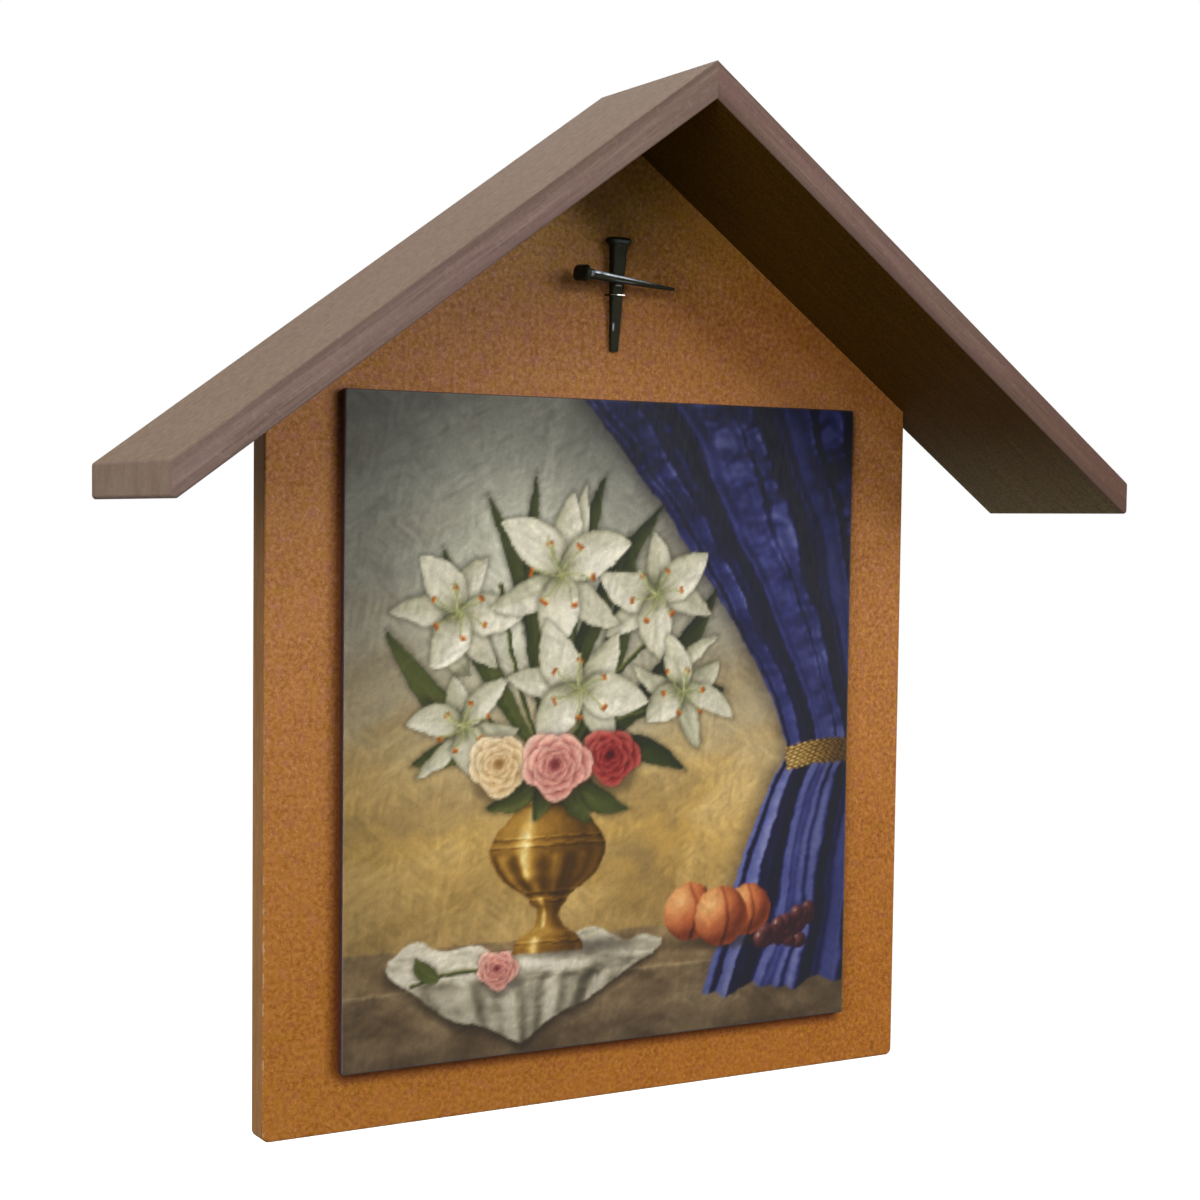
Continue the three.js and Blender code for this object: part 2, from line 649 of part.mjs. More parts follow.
function keyholeOutline() {
  const meet = Math.acos(KEYHOLE_SLOT_RADIUS / KEYHOLE_ENTRY_RADIUS);
  const hole = new THREE.Path();
  hole.absarc(0, 0, KEYHOLE_SLOT_RADIUS, 0, Math.PI);
  hole.absarc(0, -KEYHOLE_TRAVEL, KEYHOLE_ENTRY_RADIUS, Math.PI - meet, 2 * Math.PI + meet);
  hole.closePath();
  return hole;
}

// Countersunk screw, its flat head at the origin and its point along Z, and the hole that it sits in
const hangerScrewGeometry = turned([
  [0, 0],
  [HANGER_SCREW_HEAD_RADIUS, 0],
  [HANGER_SCREW_RADIUS, hangerScrewCone],
  [HANGER_SCREW_RADIUS, hangerScrewLength - HANGER_SCREW_POINT],
  [0, hangerScrewLength],
]);
const hangerScrewHole = turned([
  [0, -CUT_OVERRUN],
  [HANGER_SCREW_HEAD_RADIUS + HOLE_CLEARANCE, -CUT_OVERRUN],
  [HANGER_SCREW_HEAD_RADIUS + HOLE_CLEARANCE, SEAT_GAP],
  [HANGER_SCREW_RADIUS + HOLE_CLEARANCE, hangerScrewCone + SEAT_GAP],
  [HANGER_SCREW_RADIUS + HOLE_CLEARANCE, hangerScrewLength + SEAT_GAP],
  [0, hangerScrewLength + SEAT_GAP],
]);

const hangers = [['left', -1], ['right', 1]].map(([sideName, side]) => ({
  name: `keyhole_hanger_${sideName}`,
  point: new THREE.Vector3(side * hangerX, 0, hangingLine),
  screws: [['top', 1], ['bottom', -1]].map(([level, up]) => ({
    name: `hanger_screw_${sideName}_${level}`,
    offset: placeAlong(
      new THREE.Vector3(0, -HANGER_SCREW_SINK, hangerMiddle + up * hangerScrewOffset),
      new THREE.Vector3(0, -1, 0),
    ),
  })),
}));

function hangerGroup(hanger) {
  const outline = hangerOutline(0);
  outline.holes.push(keyholeOutline());
  const screwHoles = hanger.screws.map((screw) => aimed(hangerScrewHole, screw.offset));
  const group = new THREE.Group();
  group.position.copy(hanger.point);
  group.add(piece(hanger.name, cut(plate(outline, HANGER_THICKNESS), screwHoles), zincSteel));
  for (const screw of hanger.screws) {
    group.add(aimMesh(piece(screw.name, hangerScrewGeometry, zincSteel), screw.offset));
  }
  return group;
}

// Recess for the hanger, deeper pocket for the hanging screw's head, and pilot holes for its own screws
function hangerCuts(hanger) {
  const recess = plate(hangerOutline(SEAT_GAP), HANGER_THICKNESS + SEAT_GAP + CUT_OVERRUN);
  recess.translate(0, CUT_OVERRUN, 0);
  const pocketRadius = KEYHOLE_ENTRY_RADIUS + HEAD_POCKET_ROOM;
  const pocket = plate(
    roundedRectangle(
      2 * pocketRadius,
      -KEYHOLE_TRAVEL - pocketRadius,
      pocketRadius,
      pocketRadius,
      pocketRadius,
    ),
    HEAD_POCKET_DEPTH,
  );
  const screwHoles = hanger.screws.map((screw) => aimed(hangerScrewHole, screw.offset));
  return [recess, pocket, ...screwHoles].map((cutter) => cutter.translate(...hanger.point));
}

// Backboard
// A blank with rounded lower corners, cut to the roof's slope so that its top edges stay square.
function backboard() {
  const blank = plate(
    roundedRectangle(boardWidth, 0, boardApex + ROOF_THICKNESS, BOARD_CORNER_RADIUS, 0),
    BOARD_THICKNESS,
    BOARD_EDGE_EASE,
  );
  const past = boardWidth;
  const aboveRoofLine = plate(
    polygon([
      [0, boardApex],
      [past, boardApex - past * slope],
      [past, boardApex + 2 * ROOF_THICKNESS],
      [-past, boardApex + 2 * ROOF_THICKNESS],
      [-past, boardApex - past * slope],
    ]),
    BOARD_THICKNESS + 2 * CUT_OVERRUN,
  ).translate(0, CUT_OVERRUN, 0);
  const pocketCuts = roofScrewPlaces.flatMap(({ place }) => [
    aimed(shankHole, place),
    aimed(pocketHole, place),
  ]);
  const cutters = [aboveRoofLine, ...pocketCuts, ...hangers.flatMap(hangerCuts), ...wireHoles()];
  return piece('backboard', cut(blank, cutters), fibreBoard);
}

// Assembly
const fromBottomEdge = new THREE.Group();
fromBottomEdge.add(
  backboard(),
  roofBoard('roof_board_left', -1),
  roofBoard('roof_board_right', 1),
  ...dowelPlaces.map(({ name, place }) => aimMesh(piece(name, dowelGeometry, dowelWood), place)),
  ...roofScrewPlaces.map(({ name, place }) => aimMesh(piece(name, roofScrewGeometry, zincSteel), place)),
  pictureGroup(),
  nailCross(),
  wireStaple(),
  ...hangers.map(hangerGroup),
);
fromBottomEdge.position.z = -hangingLine;

const shrine = new THREE.Group();
shrine.add(fromBottomEdge);

export default shrine;
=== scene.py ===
# %% [markdown]
# # An outdoor wall shrine
# The shrine is a rust-brown fibre board in the shape of a house front, under a roof of two stained
# boards. A picture panel stands on its face, and a small cross of two cut nails hangs under the ridge.
# The solids come from the CAD frame and stay where they are. They could be modelled again here, but
# then two shapes would have to be kept alike. So this lesson only gives them their finishes, and draws
# finer skins for the film, the nails, the staple and the screws.

import math

import bmesh
import bpy
import numpy as np
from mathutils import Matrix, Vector


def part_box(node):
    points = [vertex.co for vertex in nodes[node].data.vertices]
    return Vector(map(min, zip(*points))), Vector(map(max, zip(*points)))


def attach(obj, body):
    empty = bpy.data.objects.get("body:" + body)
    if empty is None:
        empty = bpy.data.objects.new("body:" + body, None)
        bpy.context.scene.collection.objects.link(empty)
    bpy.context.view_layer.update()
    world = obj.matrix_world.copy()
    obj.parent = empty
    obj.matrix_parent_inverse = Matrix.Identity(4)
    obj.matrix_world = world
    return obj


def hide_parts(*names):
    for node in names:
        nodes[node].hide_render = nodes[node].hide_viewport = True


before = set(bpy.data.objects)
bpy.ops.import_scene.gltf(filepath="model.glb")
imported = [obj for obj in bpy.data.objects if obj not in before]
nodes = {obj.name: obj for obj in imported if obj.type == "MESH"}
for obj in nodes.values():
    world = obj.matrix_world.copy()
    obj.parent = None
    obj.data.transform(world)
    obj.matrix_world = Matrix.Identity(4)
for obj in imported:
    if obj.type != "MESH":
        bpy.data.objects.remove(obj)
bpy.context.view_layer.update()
MM = 0.001

# %% [markdown]
# ## Camera
# The view is from the left, a little above half height, at about 1.5 m. A camera could be moved about
# by eye until the view looks right. Here its place, turn, lens and shifts are numbers from a fit to
# seventeen corners of the reference view, so that lines converge at the same rate as they do there.

# %% Place the camera
CAMERA_PLACE = (-0.7461, -1.2509, -0.0327)
CAMERA_TURN_DEGREES = (86.711, -0.639, -29.800)
CAMERA_LENS = 64.44
CAMERA_SHIFT = (0.0352, 0.0395)

camera_data = bpy.data.cameras.new("camera")
camera_data.lens = CAMERA_LENS
camera_data.shift_x, camera_data.shift_y = CAMERA_SHIFT
camera = bpy.data.objects.new("camera", camera_data)
camera.location = CAMERA_PLACE
camera.rotation_euler = [math.radians(angle) for angle in CAMERA_TURN_DEGREES]
bpy.context.scene.collection.objects.link(camera)
bpy.context.scene.camera = camera
print("camera at", CAMERA_PLACE, "with a", CAMERA_LENS, "mm lens")

# %% [markdown]
# ## Node helpers
# A finish is a small network of nodes. It could be wired by hand in the shader editor, but a script can
# be read through, and what repeats is written once. The first helper adds a node and fills its inputs.
# The others build on it, and most of them give back the socket that the next one needs. More helpers
# follow where a finish first needs them.

# %% Helpers that add nodes
def add(tree, kind, inputs=None, output=0, **settings):
    """Adds a node, sets its options, fills or links its inputs, and returns one output socket."""
    made = tree.nodes.new("ShaderNode" + kind)
    for name, value in settings.items():
        setattr(made, name, value)
    for name, value in (inputs or {}).items():
        if isinstance(value, bpy.types.NodeSocket):
            tree.links.new(value, made.inputs[name])
        else:
            made.inputs[name].default_value = value
    return made.outputs[output]


def sums(tree, operation, *values):
    """One step of arithmetic on one, two or three values."""
    return add(tree, "Math", dict(enumerate(values)), operation=operation)


def ramp(tree, value, start, end, low=0.0, high=1.0):
    """A smooth step: low where value is at start, high where it is at end."""
    inputs = {"Value": value, "From Min": start, "From Max": end, "To Min": low, "To Max": high}
    return add(tree, "MapRange", inputs, interpolation_type="SMOOTHSTEP")


def stretched(tree, vector, factors):
    """A vector times one factor for each axis. Noise on it is drawn out where the factor is small."""
    return add(tree, "VectorMath", {0: vector, 1: factors}, operation="MULTIPLY")


def length_of(tree, vector):
    """The length of a vector."""
    return add(tree, "VectorMath", {0: vector}, "Value", operation="LENGTH")


print("helpers for nodes, sums, smooth steps and vectors ready")


# %% Colours and empty materials
def colour(red, green, blue):
    """A linear colour with full alpha."""
    return (red, green, blue, 1.0)


def new_material(name):
    """An empty material with its output, as (material, tree, output node)."""
    material = bpy.data.materials.new(name)
    material.use_nodes = True
    tree = material.node_tree
    tree.nodes.clear()
    return material, tree, tree.nodes.new("ShaderNodeOutputMaterial")


print("a colour has", len(colour(1.0, 1.0, 1.0)), "parts, the last one alpha")

# %% [markdown]
# ## Stage
# The shrine hangs in front of white, well above the floor. The white could be a lit wall and floor, but
# their light would wash out the dark underside of the roof. So the floor and the surroundings only look
# white, to the camera, to reflections and through clear things. To the light that bounces about, the
# floor is a quiet grey and the surroundings are dim.

# %% Floor finish
WHITE = colour(1.0, 1.0, 1.0)
FLOOR_GREY = colour(0.5, 0.5, 0.5)
BOUNCE_GREY = colour(0.10, 0.10, 0.10)
SHADOW_RADIUS = (0.8, 2.2)
SHADOW_GLOW = (0.62, 1.0)


def seen_directly(tree):
    """1 for rays from the camera, from gloss and through glass, and 0 for bounced light."""
    path = tree.nodes.new("ShaderNodeLightPath").outputs
    seen = sums(tree, "MAXIMUM", path["Is Camera Ray"], path["Is Glossy Ray"])
    return sums(tree, "MAXIMUM", seen, path["Is Transmission Ray"])


def floor_finish():
    """Pale floor that keeps a shadow near the object and fades to white away from it."""
    material, tree, out = new_material("pale_floor")
    flat = stretched(tree, add(tree, "TexCoord", output="Object"), (1, 1, 0))
    glow = ramp(tree, length_of(tree, flat), *SHADOW_RADIUS, *SHADOW_GLOW)
    pale = add(tree, "BsdfDiffuse", {"Color": FLOOR_GREY})
    white = add(tree, "Emission", {"Color": WHITE, "Strength": glow})
    shown = add(tree, "AddShader", {0: pale, 1: white})
    bounced = add(tree, "BsdfDiffuse", {"Color": BOUNCE_GREY})
    chosen = add(tree, "MixShader", {0: seen_directly(tree), 1: bounced, 2: shown})
    tree.links.new(chosen, out.inputs[0])
    return material


print("floor fades to white between", *SHADOW_RADIUS, "m from the middle")

# %% Floor
FLOOR_HEIGHT = -1.15
FLOOR_RADIUS = 9.0
FLOOR_SIDES = 96

angles = np.linspace(0, 2 * np.pi, FLOOR_SIDES, endpoint=False)
rim = np.column_stack([np.cos(angles), np.sin(angles), np.zeros(FLOOR_SIDES)]) * FLOOR_RADIUS
rim[:, 2] = FLOOR_HEIGHT
floor_mesh = bpy.data.meshes.new("floor")
floor_mesh.from_pydata(rim.tolist(), [], [list(range(FLOOR_SIDES))])
floor_mesh.materials.append(floor_finish())
floor = bpy.data.objects.new("floor", floor_mesh)
bpy.context.scene.collection.objects.link(floor)
print("floor", -FLOOR_HEIGHT, "m below the hanging line")

# %% Surroundings
AMBIENT = 0.08

world = bpy.data.worlds.new("surroundings")
world.use_nodes = True
sky = world.node_tree
sky.nodes.clear()
strength = ramp(sky, seen_directly(sky), 0.0, 1.0, low=AMBIENT, high=1.0)
background = add(sky, "Background", {"Color": WHITE, "Strength": strength})
sky.links.new(background, sky.nodes.new("ShaderNodeOutputWorld").inputs[0])
bpy.context.scene.world = world
bpy.context.scene.view_settings.view_transform = "Standard"
print("the surroundings look white and give", AMBIENT, "of that as light")

# %% [markdown]
# ## Light
# The shrine is lit softly from both sides. A picture of a bright room wrapped round the scene could do
# that, but lamps can be placed and weighed one by one. A wide lamp stands in front on each side, and a
# small one hangs high on the right, so that the nails throw soft shadows on the board. Another lights
# the left slope of the roof, and the last one the back, for views from behind.

# %% Lamps
LAMPS = {
    # name: (place, aimed at, width and height, watts)
    "right_lamp": ((2.10, -1.85, 0.90), (0.0, 0.0, -0.10), (1.7, 1.7), 57.0),
    "high_lamp": ((0.85, -2.20, 1.05), (0.0, 0.0, -0.10), (0.45, 0.45), 12.0),
    "left_lamp": ((-2.20, -1.85, 0.62), (0.0, 0.0, -0.10), (1.7, 2.2), 63.0),
    "roof_lamp": ((-1.60, -0.45, 2.30), (-0.15, -0.07, 0.05), (1.4, 1.4), 46.0),
    "back_lamp": ((1.20, 1.90, 1.30), (0.0, 0.0, 0.0), (1.6, 1.6), 60.0),
}


def lamp(name, place, target, size, watts):
    """A rectangular lamp that faces its target."""
    data = bpy.data.lights.new(name, "AREA")
    data.shape = "RECTANGLE"
    data.size, data.size_y = size
    data.energy = watts
    made = bpy.data.objects.new(name, data)
    aim = Vector(target) - Vector(place)
    made.location = place
    made.rotation_euler = aim.to_track_quat("-Z", "Y").to_euler()
    bpy.context.scene.collection.objects.link(made)


for lamp_name, settings in LAMPS.items():
    lamp(lamp_name, *settings)
print("lamps:", ", ".join(LAMPS))

# %% [markdown]
# ## Shared effects
# Wood grain, worn edges and speckle turn up in several finishes, so each is a node group that is built
# once. They could be painted pictures, but a picture has to be wrapped round each piece and shows its
# seams, while a pattern in space has none. A group only puts out masks and values. The shader stays in
# the material that uses it.

# %% Helpers for groups and noise
def new_group(name, inputs, outputs):
    """An empty node group with named sockets, as (tree, its inputs, its output node)."""
    tree = bpy.data.node_groups.new(name, "ShaderNodeTree")
    for socket, kind in inputs.items():
        tree.interface.new_socket(socket, in_out="INPUT", socket_type="NodeSocket" + kind)
    for socket, kind in outputs.items():
        tree.interface.new_socket(socket, in_out="OUTPUT", socket_type="NodeSocket" + kind)
    return tree, tree.nodes.new("NodeGroupInput").outputs, tree.nodes.new("NodeGroupOutput")


def use_group(tree, group, **inputs):
    """Places a group in a tree and returns its outputs by name."""
    made = tree.nodes.new("ShaderNodeGroup")
    made.node_tree = group
    for name, value in inputs.items():
        socket = made.inputs[name.replace("_", " ")]
        if isinstance(value, bpy.types.NodeSocket):
            tree.links.new(value, socket)
        else:
            socket.default_value = value
    return made.outputs


def noise(tree, vector, size, detail=3.0, rough=0.55):
    """Cloudy noise with features of about the given size, in the vector's own units."""
    inputs = {"Vector": vector, "Scale": 1 / size, "Detail": detail, "Roughness": rough}
    return add(tree, "TexNoise", inputs)


print("helpers for groups and noise ready")

# %% Wood grain group
RING_WANDER = 14.0


def grain_group():
    """Rings: bands of equal distance from a heart line that runs along X, bent by slow noise.
    Fibres, the broader bands and the drift: noise drawn out along X. Pores: short dashes along X.
    All on a vector in millimetres."""
    inputs = {"Vector": "Vector", "Heart": "Vector", "Ring width": "Float"}
    outputs = {"Rings": "Float", "Fibres": "Float", "Bands": "Float", "Pores": "Float", "Drift": "Float"}
    tree, given, out = new_group("wood_grain", inputs, outputs)
    from_heart = add(tree, "VectorMath", {0: given["Vector"], 1: given["Heart"]}, operation="SUBTRACT")
    slow = stretched(tree, from_heart, (0.010, 0.05, 0.05))
    wander = add(tree, "TexNoise", {"Vector": slow, "Scale": 1.0, "Detail": 2.0}, "Color")
    offset = stretched(tree, wander, (0, RING_WANDER, RING_WANDER))
    bent = add(tree, "VectorMath", {0: from_heart, 1: offset}, operation="ADD")
    radius = length_of(tree, stretched(tree, bent, (0, 1, 1)))
    turns = sums(tree, "FRACT", sums(tree, "DIVIDE", radius, given["Ring width"]))
    rise = ramp(tree, turns, 0.0, 0.8)
    fall = ramp(tree, turns, 0.86, 1.0, 1.0, 0.0)
    dashes = noise(tree, stretched(tree, from_heart, (0.10, 2.6, 2.6)), 1.0, 2.0, 0.5)
    made = {
        "Rings": sums(tree, "MULTIPLY", rise, fall),
        "Fibres": noise(tree, stretched(tree, from_heart, (0.022, 1.3, 1.3)), 1.0, 5.0, 0.62),
        "Bands": noise(tree, stretched(tree, from_heart, (0.012, 0.28, 0.28)), 1.0, 4.0, 0.6),
        "Pores": ramp(tree, dashes, 0.60, 0.74),
        "Drift": noise(tree, stretched(tree, from_heart, (0.006, 0.06, 0.06)), 1.0, 3.0, 0.6),
    }
    for name, socket in made.items():
        tree.links.new(socket, out.inputs[name])
    return tree


wood_grain = grain_group()
print("wood grain group with", len(wood_grain.nodes), "nodes")


# %% Worn edge group
def split(tree, vector):
    """The X, Y and Z of a vector, as sockets by name."""
    parts = tree.nodes.new("ShaderNodeSeparateXYZ")
    tree.links.new(vector, parts.inputs[0])
    return parts.outputs


def edge_group():
    """A point lies on an edge of a box where two of its three distances to the box's faces are small.
    The mask is high where the middle one of the three distances is less than the wear's width."""
    inputs = {"Vector": "Vector", "Half size": "Vector", "Width": "Float", "Patch size": "Float"}
    tree, given, out = new_group("worn_edges", inputs, {"Mask": "Float"})
    size = add(tree, "VectorMath", {0: given["Vector"]}, operation="ABSOLUTE")
    inside = add(tree, "VectorMath", {0: given["Half size"], 1: size}, operation="SUBTRACT")
    x, y, z = split(tree, inside)
    low_pair = sums(tree, "MINIMUM", x, y)
    high_pair = sums(tree, "MAXIMUM", x, y)
    middle = sums(tree, "MAXIMUM", low_pair, sums(tree, "MINIMUM", high_pair, z))
    per_patch = sums(tree, "DIVIDE", 1.0, given["Patch size"])
    scaled = add(tree, "VectorMath", {0: given["Vector"], "Scale": per_patch}, operation="SCALE")
    patches = noise(tree, scaled, 1.0, 4.0, 0.65)
    reach = sums(tree, "MULTIPLY", given["Width"], ramp(tree, patches, 0.42, 0.72))
    near = sums(tree, "DIVIDE", middle, sums(tree, "ADD", reach, 0.01))
    tree.links.new(ramp(tree, near, 1.0, 0.3), out.inputs["Mask"])
    return tree


worn_edges = edge_group()
print("worn edge group with", len(worn_edges.nodes), "nodes")

# %% Speckle group
ELSEWHERE = (31.7, 17.3, 53.1)


def speckle_group():
    """Flecks: mottle from the fleck's size down to fine. Hue: a larger mottle, elsewhere in space.
    Fibre: short strands that lie all ways, from noise bent by other noise. Cloud: slow drift.
    Fine: grain much smaller than a fleck. All on a vector in millimetres."""
    inputs = {"Vector": "Vector", "Fleck size": "Float"}
    outputs = {"Flecks": "Float", "Hue": "Float", "Fibre": "Float", "Cloud": "Float", "Fine": "Float"}
    tree, given, out = new_group("speckle", inputs, outputs)
    per_fleck = sums(tree, "DIVIDE", 1.0, given["Fleck size"])
    scaled = add(tree, "VectorMath", {0: given["Vector"], "Scale": per_fleck}, operation="SCALE")
    apart = add(tree, "VectorMath", {0: scaled, 1: ELSEWHERE}, operation="ADD")
    strands = {"Vector": apart, "Scale": 0.9, "Detail": 2.0, "Distortion": 1.6}
    made = {
        "Flecks": noise(tree, scaled, 1.3, 3.0, 0.68),
        "Hue": noise(tree, apart, 3.3, 3.0, 0.66),
        "Fibre": add(tree, "TexNoise", strands),
        "Cloud": noise(tree, scaled, 8.0, 3.0, 0.60),
        "Fine": noise(tree, scaled, 0.28, 2.0, 0.6),
    }
    for name, socket in made.items():
        tree.links.new(socket, out.inputs[name])
    return tree


speckle = speckle_group()
print("speckle group with", len(speckle.nodes), "nodes")

# %% [markdown]
# ## Backboard
# The backboard is dense fibre board with a rust-brown stain. The stain lies in mottles of two or three
# millimetres, and duller on the cut edges, where the fibre layers show. Tints by height and by side are
# partly the stain and partly painted light and shade: it is warmest at the bottom, paler with painted
# sheen above the picture, redder on the right than on the left, and lighter and olive with painted light
# close under the ridge, with a painted shade close under the right slope. A painted shadow darkens the
# board along the panel's left side and under its foot. The front edge is rubbed pale in places, with a
# few scratches across the side. All this could be painted on the unwrapped board. A pattern in space was
# chosen, because it runs round the corners by itself and has the same grain everywhere.

# %% Mottled stain
STAIN_PALE = colour(0.470, 0.186, 0.040)
STAIN_DARK = colour(0.262, 0.088, 0.010)
STAIN_MAUVE = colour(0.350, 0.122, 0.058)
STAIN_OLIVE = colour(0.350, 0.152, 0.010)
PALE_FIBRE = colour(0.600, 0.300, 0.120)
# Places of a Mix node's sockets when it mixes colours
MIX_FACTOR, MIX_A, MIX_B, MIX_RESULT = 0, 6, 7, 2


def mix(tree, factor, first, second, blend="MIX"):
    """Mixes two colours, from the first at factor 0 to the second at factor 1."""
    inputs = {MIX_FACTOR: factor, MIX_A: first, MIX_B: second}
    return add(tree, "Mix", inputs, MIX_RESULT, data_type="RGBA", blend_type=blend)


def mottled_stain(tree, flecks):
    """From dark to pale with the flecks, to mauve and olive with the hue, then clouds and fibres."""
    base = mix(tree, ramp(tree, flecks["Flecks"], 0.345, 0.655), STAIN_DARK, STAIN_PALE)
    base = mix(tree, ramp(tree, flecks["Hue"], 0.50, 0.70, 0.0, 0.65), base, STAIN_MAUVE)
    base = mix(tree, ramp(tree, flecks["Hue"], 0.50, 0.30, 0.0, 0.65), base, STAIN_OLIVE)
    base = mix(tree, ramp(tree, flecks["Cloud"], 0.3, 0.7, 0.0, 0.30), base, STAIN_PALE)
    return mix(tree, ramp(tree, flecks["Fibre"], 0.58, 0.72, 0.0, 0.45), base, PALE_FIBRE)


print("stain from", STAIN_DARK[:3], "to", STAIN_PALE[:3])


# %% Slope of a roof board
def slope_turn(name):
    """Angle about Y that lays a sloping board flat, from the normal of its largest upper face."""
    mesh = nodes[name].data
    areas = np.empty(len(mesh.polygons))
    normals = np.empty(3 * len(mesh.polygons))
    mesh.polygons.foreach_get("area", areas)
    mesh.polygons.foreach_get("normal", normals)
    normals = normals.reshape(-1, 3)
    areas[normals[:, 2] < 0.1] = 0.0
    x, _, z = normals[np.argmax(areas)]
    return math.atan2(-x, z)


print("pitch of the roof:", round(math.degrees(slope_turn("roof_board_left")), 2), "degrees")

# %% Tints with painted light and painted shade over the stain
TINT_BOTTOM = colour(0.93, 0.88, 0.62)
MIDDLE_TINT_AND_SHEEN = colour(1.07, 1.19, 1.84)
RIDGE_PAINTED_LIGHT = colour(1.76, 2.56, 3.15)
LOWER_RISE = (-0.40, 0.06)
PAINTED_LIGHT_RISE = (0.10, 0.22)
LEFT_TINT_AND_SHADE = colour(0.82, 0.86, 1.05)
RIGHT_TINT_AND_SHADE = colour(0.96, 0.87, 0.72)
PATCH_DARK = colour(0.88, 0.85, 0.82)
PATCH_PALE = colour(1.10, 1.12, 1.13)
SLOPE_PAINTED_SHADE = colour(0.80, 0.75, 0.58)
SLOPE_SHADE_REACH = (0.150, 0.172)


def stain_and_painted_light(tree, base, place, spot):
    """The stain times a tint by height, partly painted sheen above the picture and painted light under
    the ridge, a tint by side, partly painted shade, patches where the board is most exposed, and a
    painted shade close under the right slope, where a point lies far out along that slope's normal."""
    height = spot["Z"]
    # Tint by height: partly the stain, partly painted sheen and painted light under the ridge.
    tint = mix(tree, ramp(tree, height, *LOWER_RISE), TINT_BOTTOM, MIDDLE_TINT_AND_SHEEN)
    tint = mix(tree, ramp(tree, height, *PAINTED_LIGHT_RISE), tint, RIDGE_PAINTED_LIGHT)
    base = mix(tree, 1.0, base, tint, "MULTIPLY")
    # Tint by side: partly painted shade.
    side = mix(tree, ramp(tree, spot["X"], -0.12, 0.12), LEFT_TINT_AND_SHADE, RIGHT_TINT_AND_SHADE)
    base = mix(tree, ramp(tree, height, 0.02, 0.12, 0.35, 1.0), base, side, "MULTIPLY")
    patches = ramp(tree, noise(tree, place, 3.4, 3.0, 0.72), 0.36, 0.64)
    exposed = sums(tree, "MAXIMUM", ramp(tree, height, 0.02, 0.10), ramp(tree, spot["X"], 0.12, 0.20))
    base = mix(tree, exposed, base, mix(tree, patches, PATCH_DARK, PATCH_PALE), "MULTIPLY")
    # Painted shade close under the right slope.
    turn = slope_turn("roof_board_right")
    slope_normal = (-math.sin(turn), 0.0, math.cos(turn))
    where = add(tree, "TexCoord", output="Object")
    outwards = add(tree, "VectorMath", {0: where, 1: slope_normal}, "Value", operation="DOT_PRODUCT")
    return mix(tree, ramp(tree, outwards, *SLOPE_SHADE_REACH), base, SLOPE_PAINTED_SHADE, "MULTIPLY")


print("tints change between heights of", *LOWER_RISE, "and of", *PAINTED_LIGHT_RISE, "m")

# %% Painted shadow beside the panel
# The colour that darkens the board as a painted shadow beside the panel.
PANEL_PAINTED_SHADOW = colour(0.44, 0.34, 0.29)
PANEL_SHADOW_REACH = 10.5 * MM
PANEL_SHADOW_FADE = 4 * MM
BEHIND_PANEL = (10 * MM, 20 * MM)


def strip(tree, across, edge, full_at, along, ends):
    """A strip along one edge of the panel. Across that edge it rises until it is full, at a place given
    from the edge, and it ends behind the panel. Along the edge it has soft ends."""
    towards = ramp(tree, across, edge - PANEL_SHADOW_REACH, edge + full_at)
    hidden = ramp(tree, across, edge + BEHIND_PANEL[0], edge + BEHIND_PANEL[1], 1.0, 0.0)
    begun = ramp(tree, along, ends[0] - PANEL_SHADOW_FADE, ends[0] + PANEL_SHADOW_FADE)
    ended = ramp(tree, along, ends[1] + PANEL_SHADOW_FADE, ends[1] - PANEL_SHADOW_FADE)
    beside = sums(tree, "MULTIPLY", towards, hidden)
    return sums(tree, "MULTIPLY", beside, sums(tree, "MULTIPLY", begun, ended))


def beside_panel(tree, spot):
    """Where the painted shadow lies: along the panel's left side and under its foot, fading away."""
    low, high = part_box("picture_panel")
    left = strip(tree, spot["X"], low[0], MM, spot["Z"], (low[2], high[2]))
    foot = strip(tree, spot["Z"], low[2], -3 * MM, spot["X"], (low[0], high[0]))
    return sums(tree, "MAXIMUM", left, foot)


print("painted_shadow within", PANEL_SHADOW_REACH / MM, "mm of the panel")

# %% Cut edges of the backboard
CUT_EDGE = colour(0.300, 0.146, 0.050)
CUT_DARK = colour(0.190, 0.090, 0.024)
RUBBED = colour(0.560, 0.380, 0.200)


def cut_edge(tree, place):
    """Layers: noise drawn out along the board's faces. Scratches: thinner noise, drawn out across it."""
    layers = stretched(tree, place, (0.05, 0.30, 0.05))
    layered = ramp(tree, noise(tree, layers, 1.0, 5.0, 0.65), 0.35, 0.65, 0.0, 0.7)
    slits = stretched(tree, place, (0.5, 0.06, 0.9))
    scratched = ramp(tree, noise(tree, slits, 1.0, 3.0, 0.6), 0.70, 0.76, 0.0, 0.5)
    return mix(tree, scratched, mix(tree, layered, CUT_EDGE, CUT_DARK), RUBBED)


print("cut edges from", CUT_DARK[:3], "to", CUT_EDGE[:3])


# %% Helpers for a finish
def parts_of(tree, coordinate):
    """The X, Y and Z of a texture coordinate, such as Object or Normal."""
    return split(tree, add(tree, "TexCoord", output=coordinate))


def millimetres(tree, turn_y=0.0, centre=(0.0, 0.0, 0.0)):
    """Object coordinates in millimetres, moved to a centre in metres and turned about Y."""
    place = add(tree, "TexCoord", output="Object")
    shift = add(tree, "VectorMath", {0: place, 1: centre}, operation="SUBTRACT")
    inputs = {"Vector": shift, "Rotation": (0.0, turn_y, 0.0), "Scale": (1 / MM, 1 / MM, 1 / MM)}
    return add(tree, "Mapping", inputs)


def bump(tree, height, strength, depth):
    """A normal that tilts with the slope of a height, whose full range is a depth in metres."""
    return add(tree, "Bump", {"Height": height, "Strength": strength, "Distance": depth})


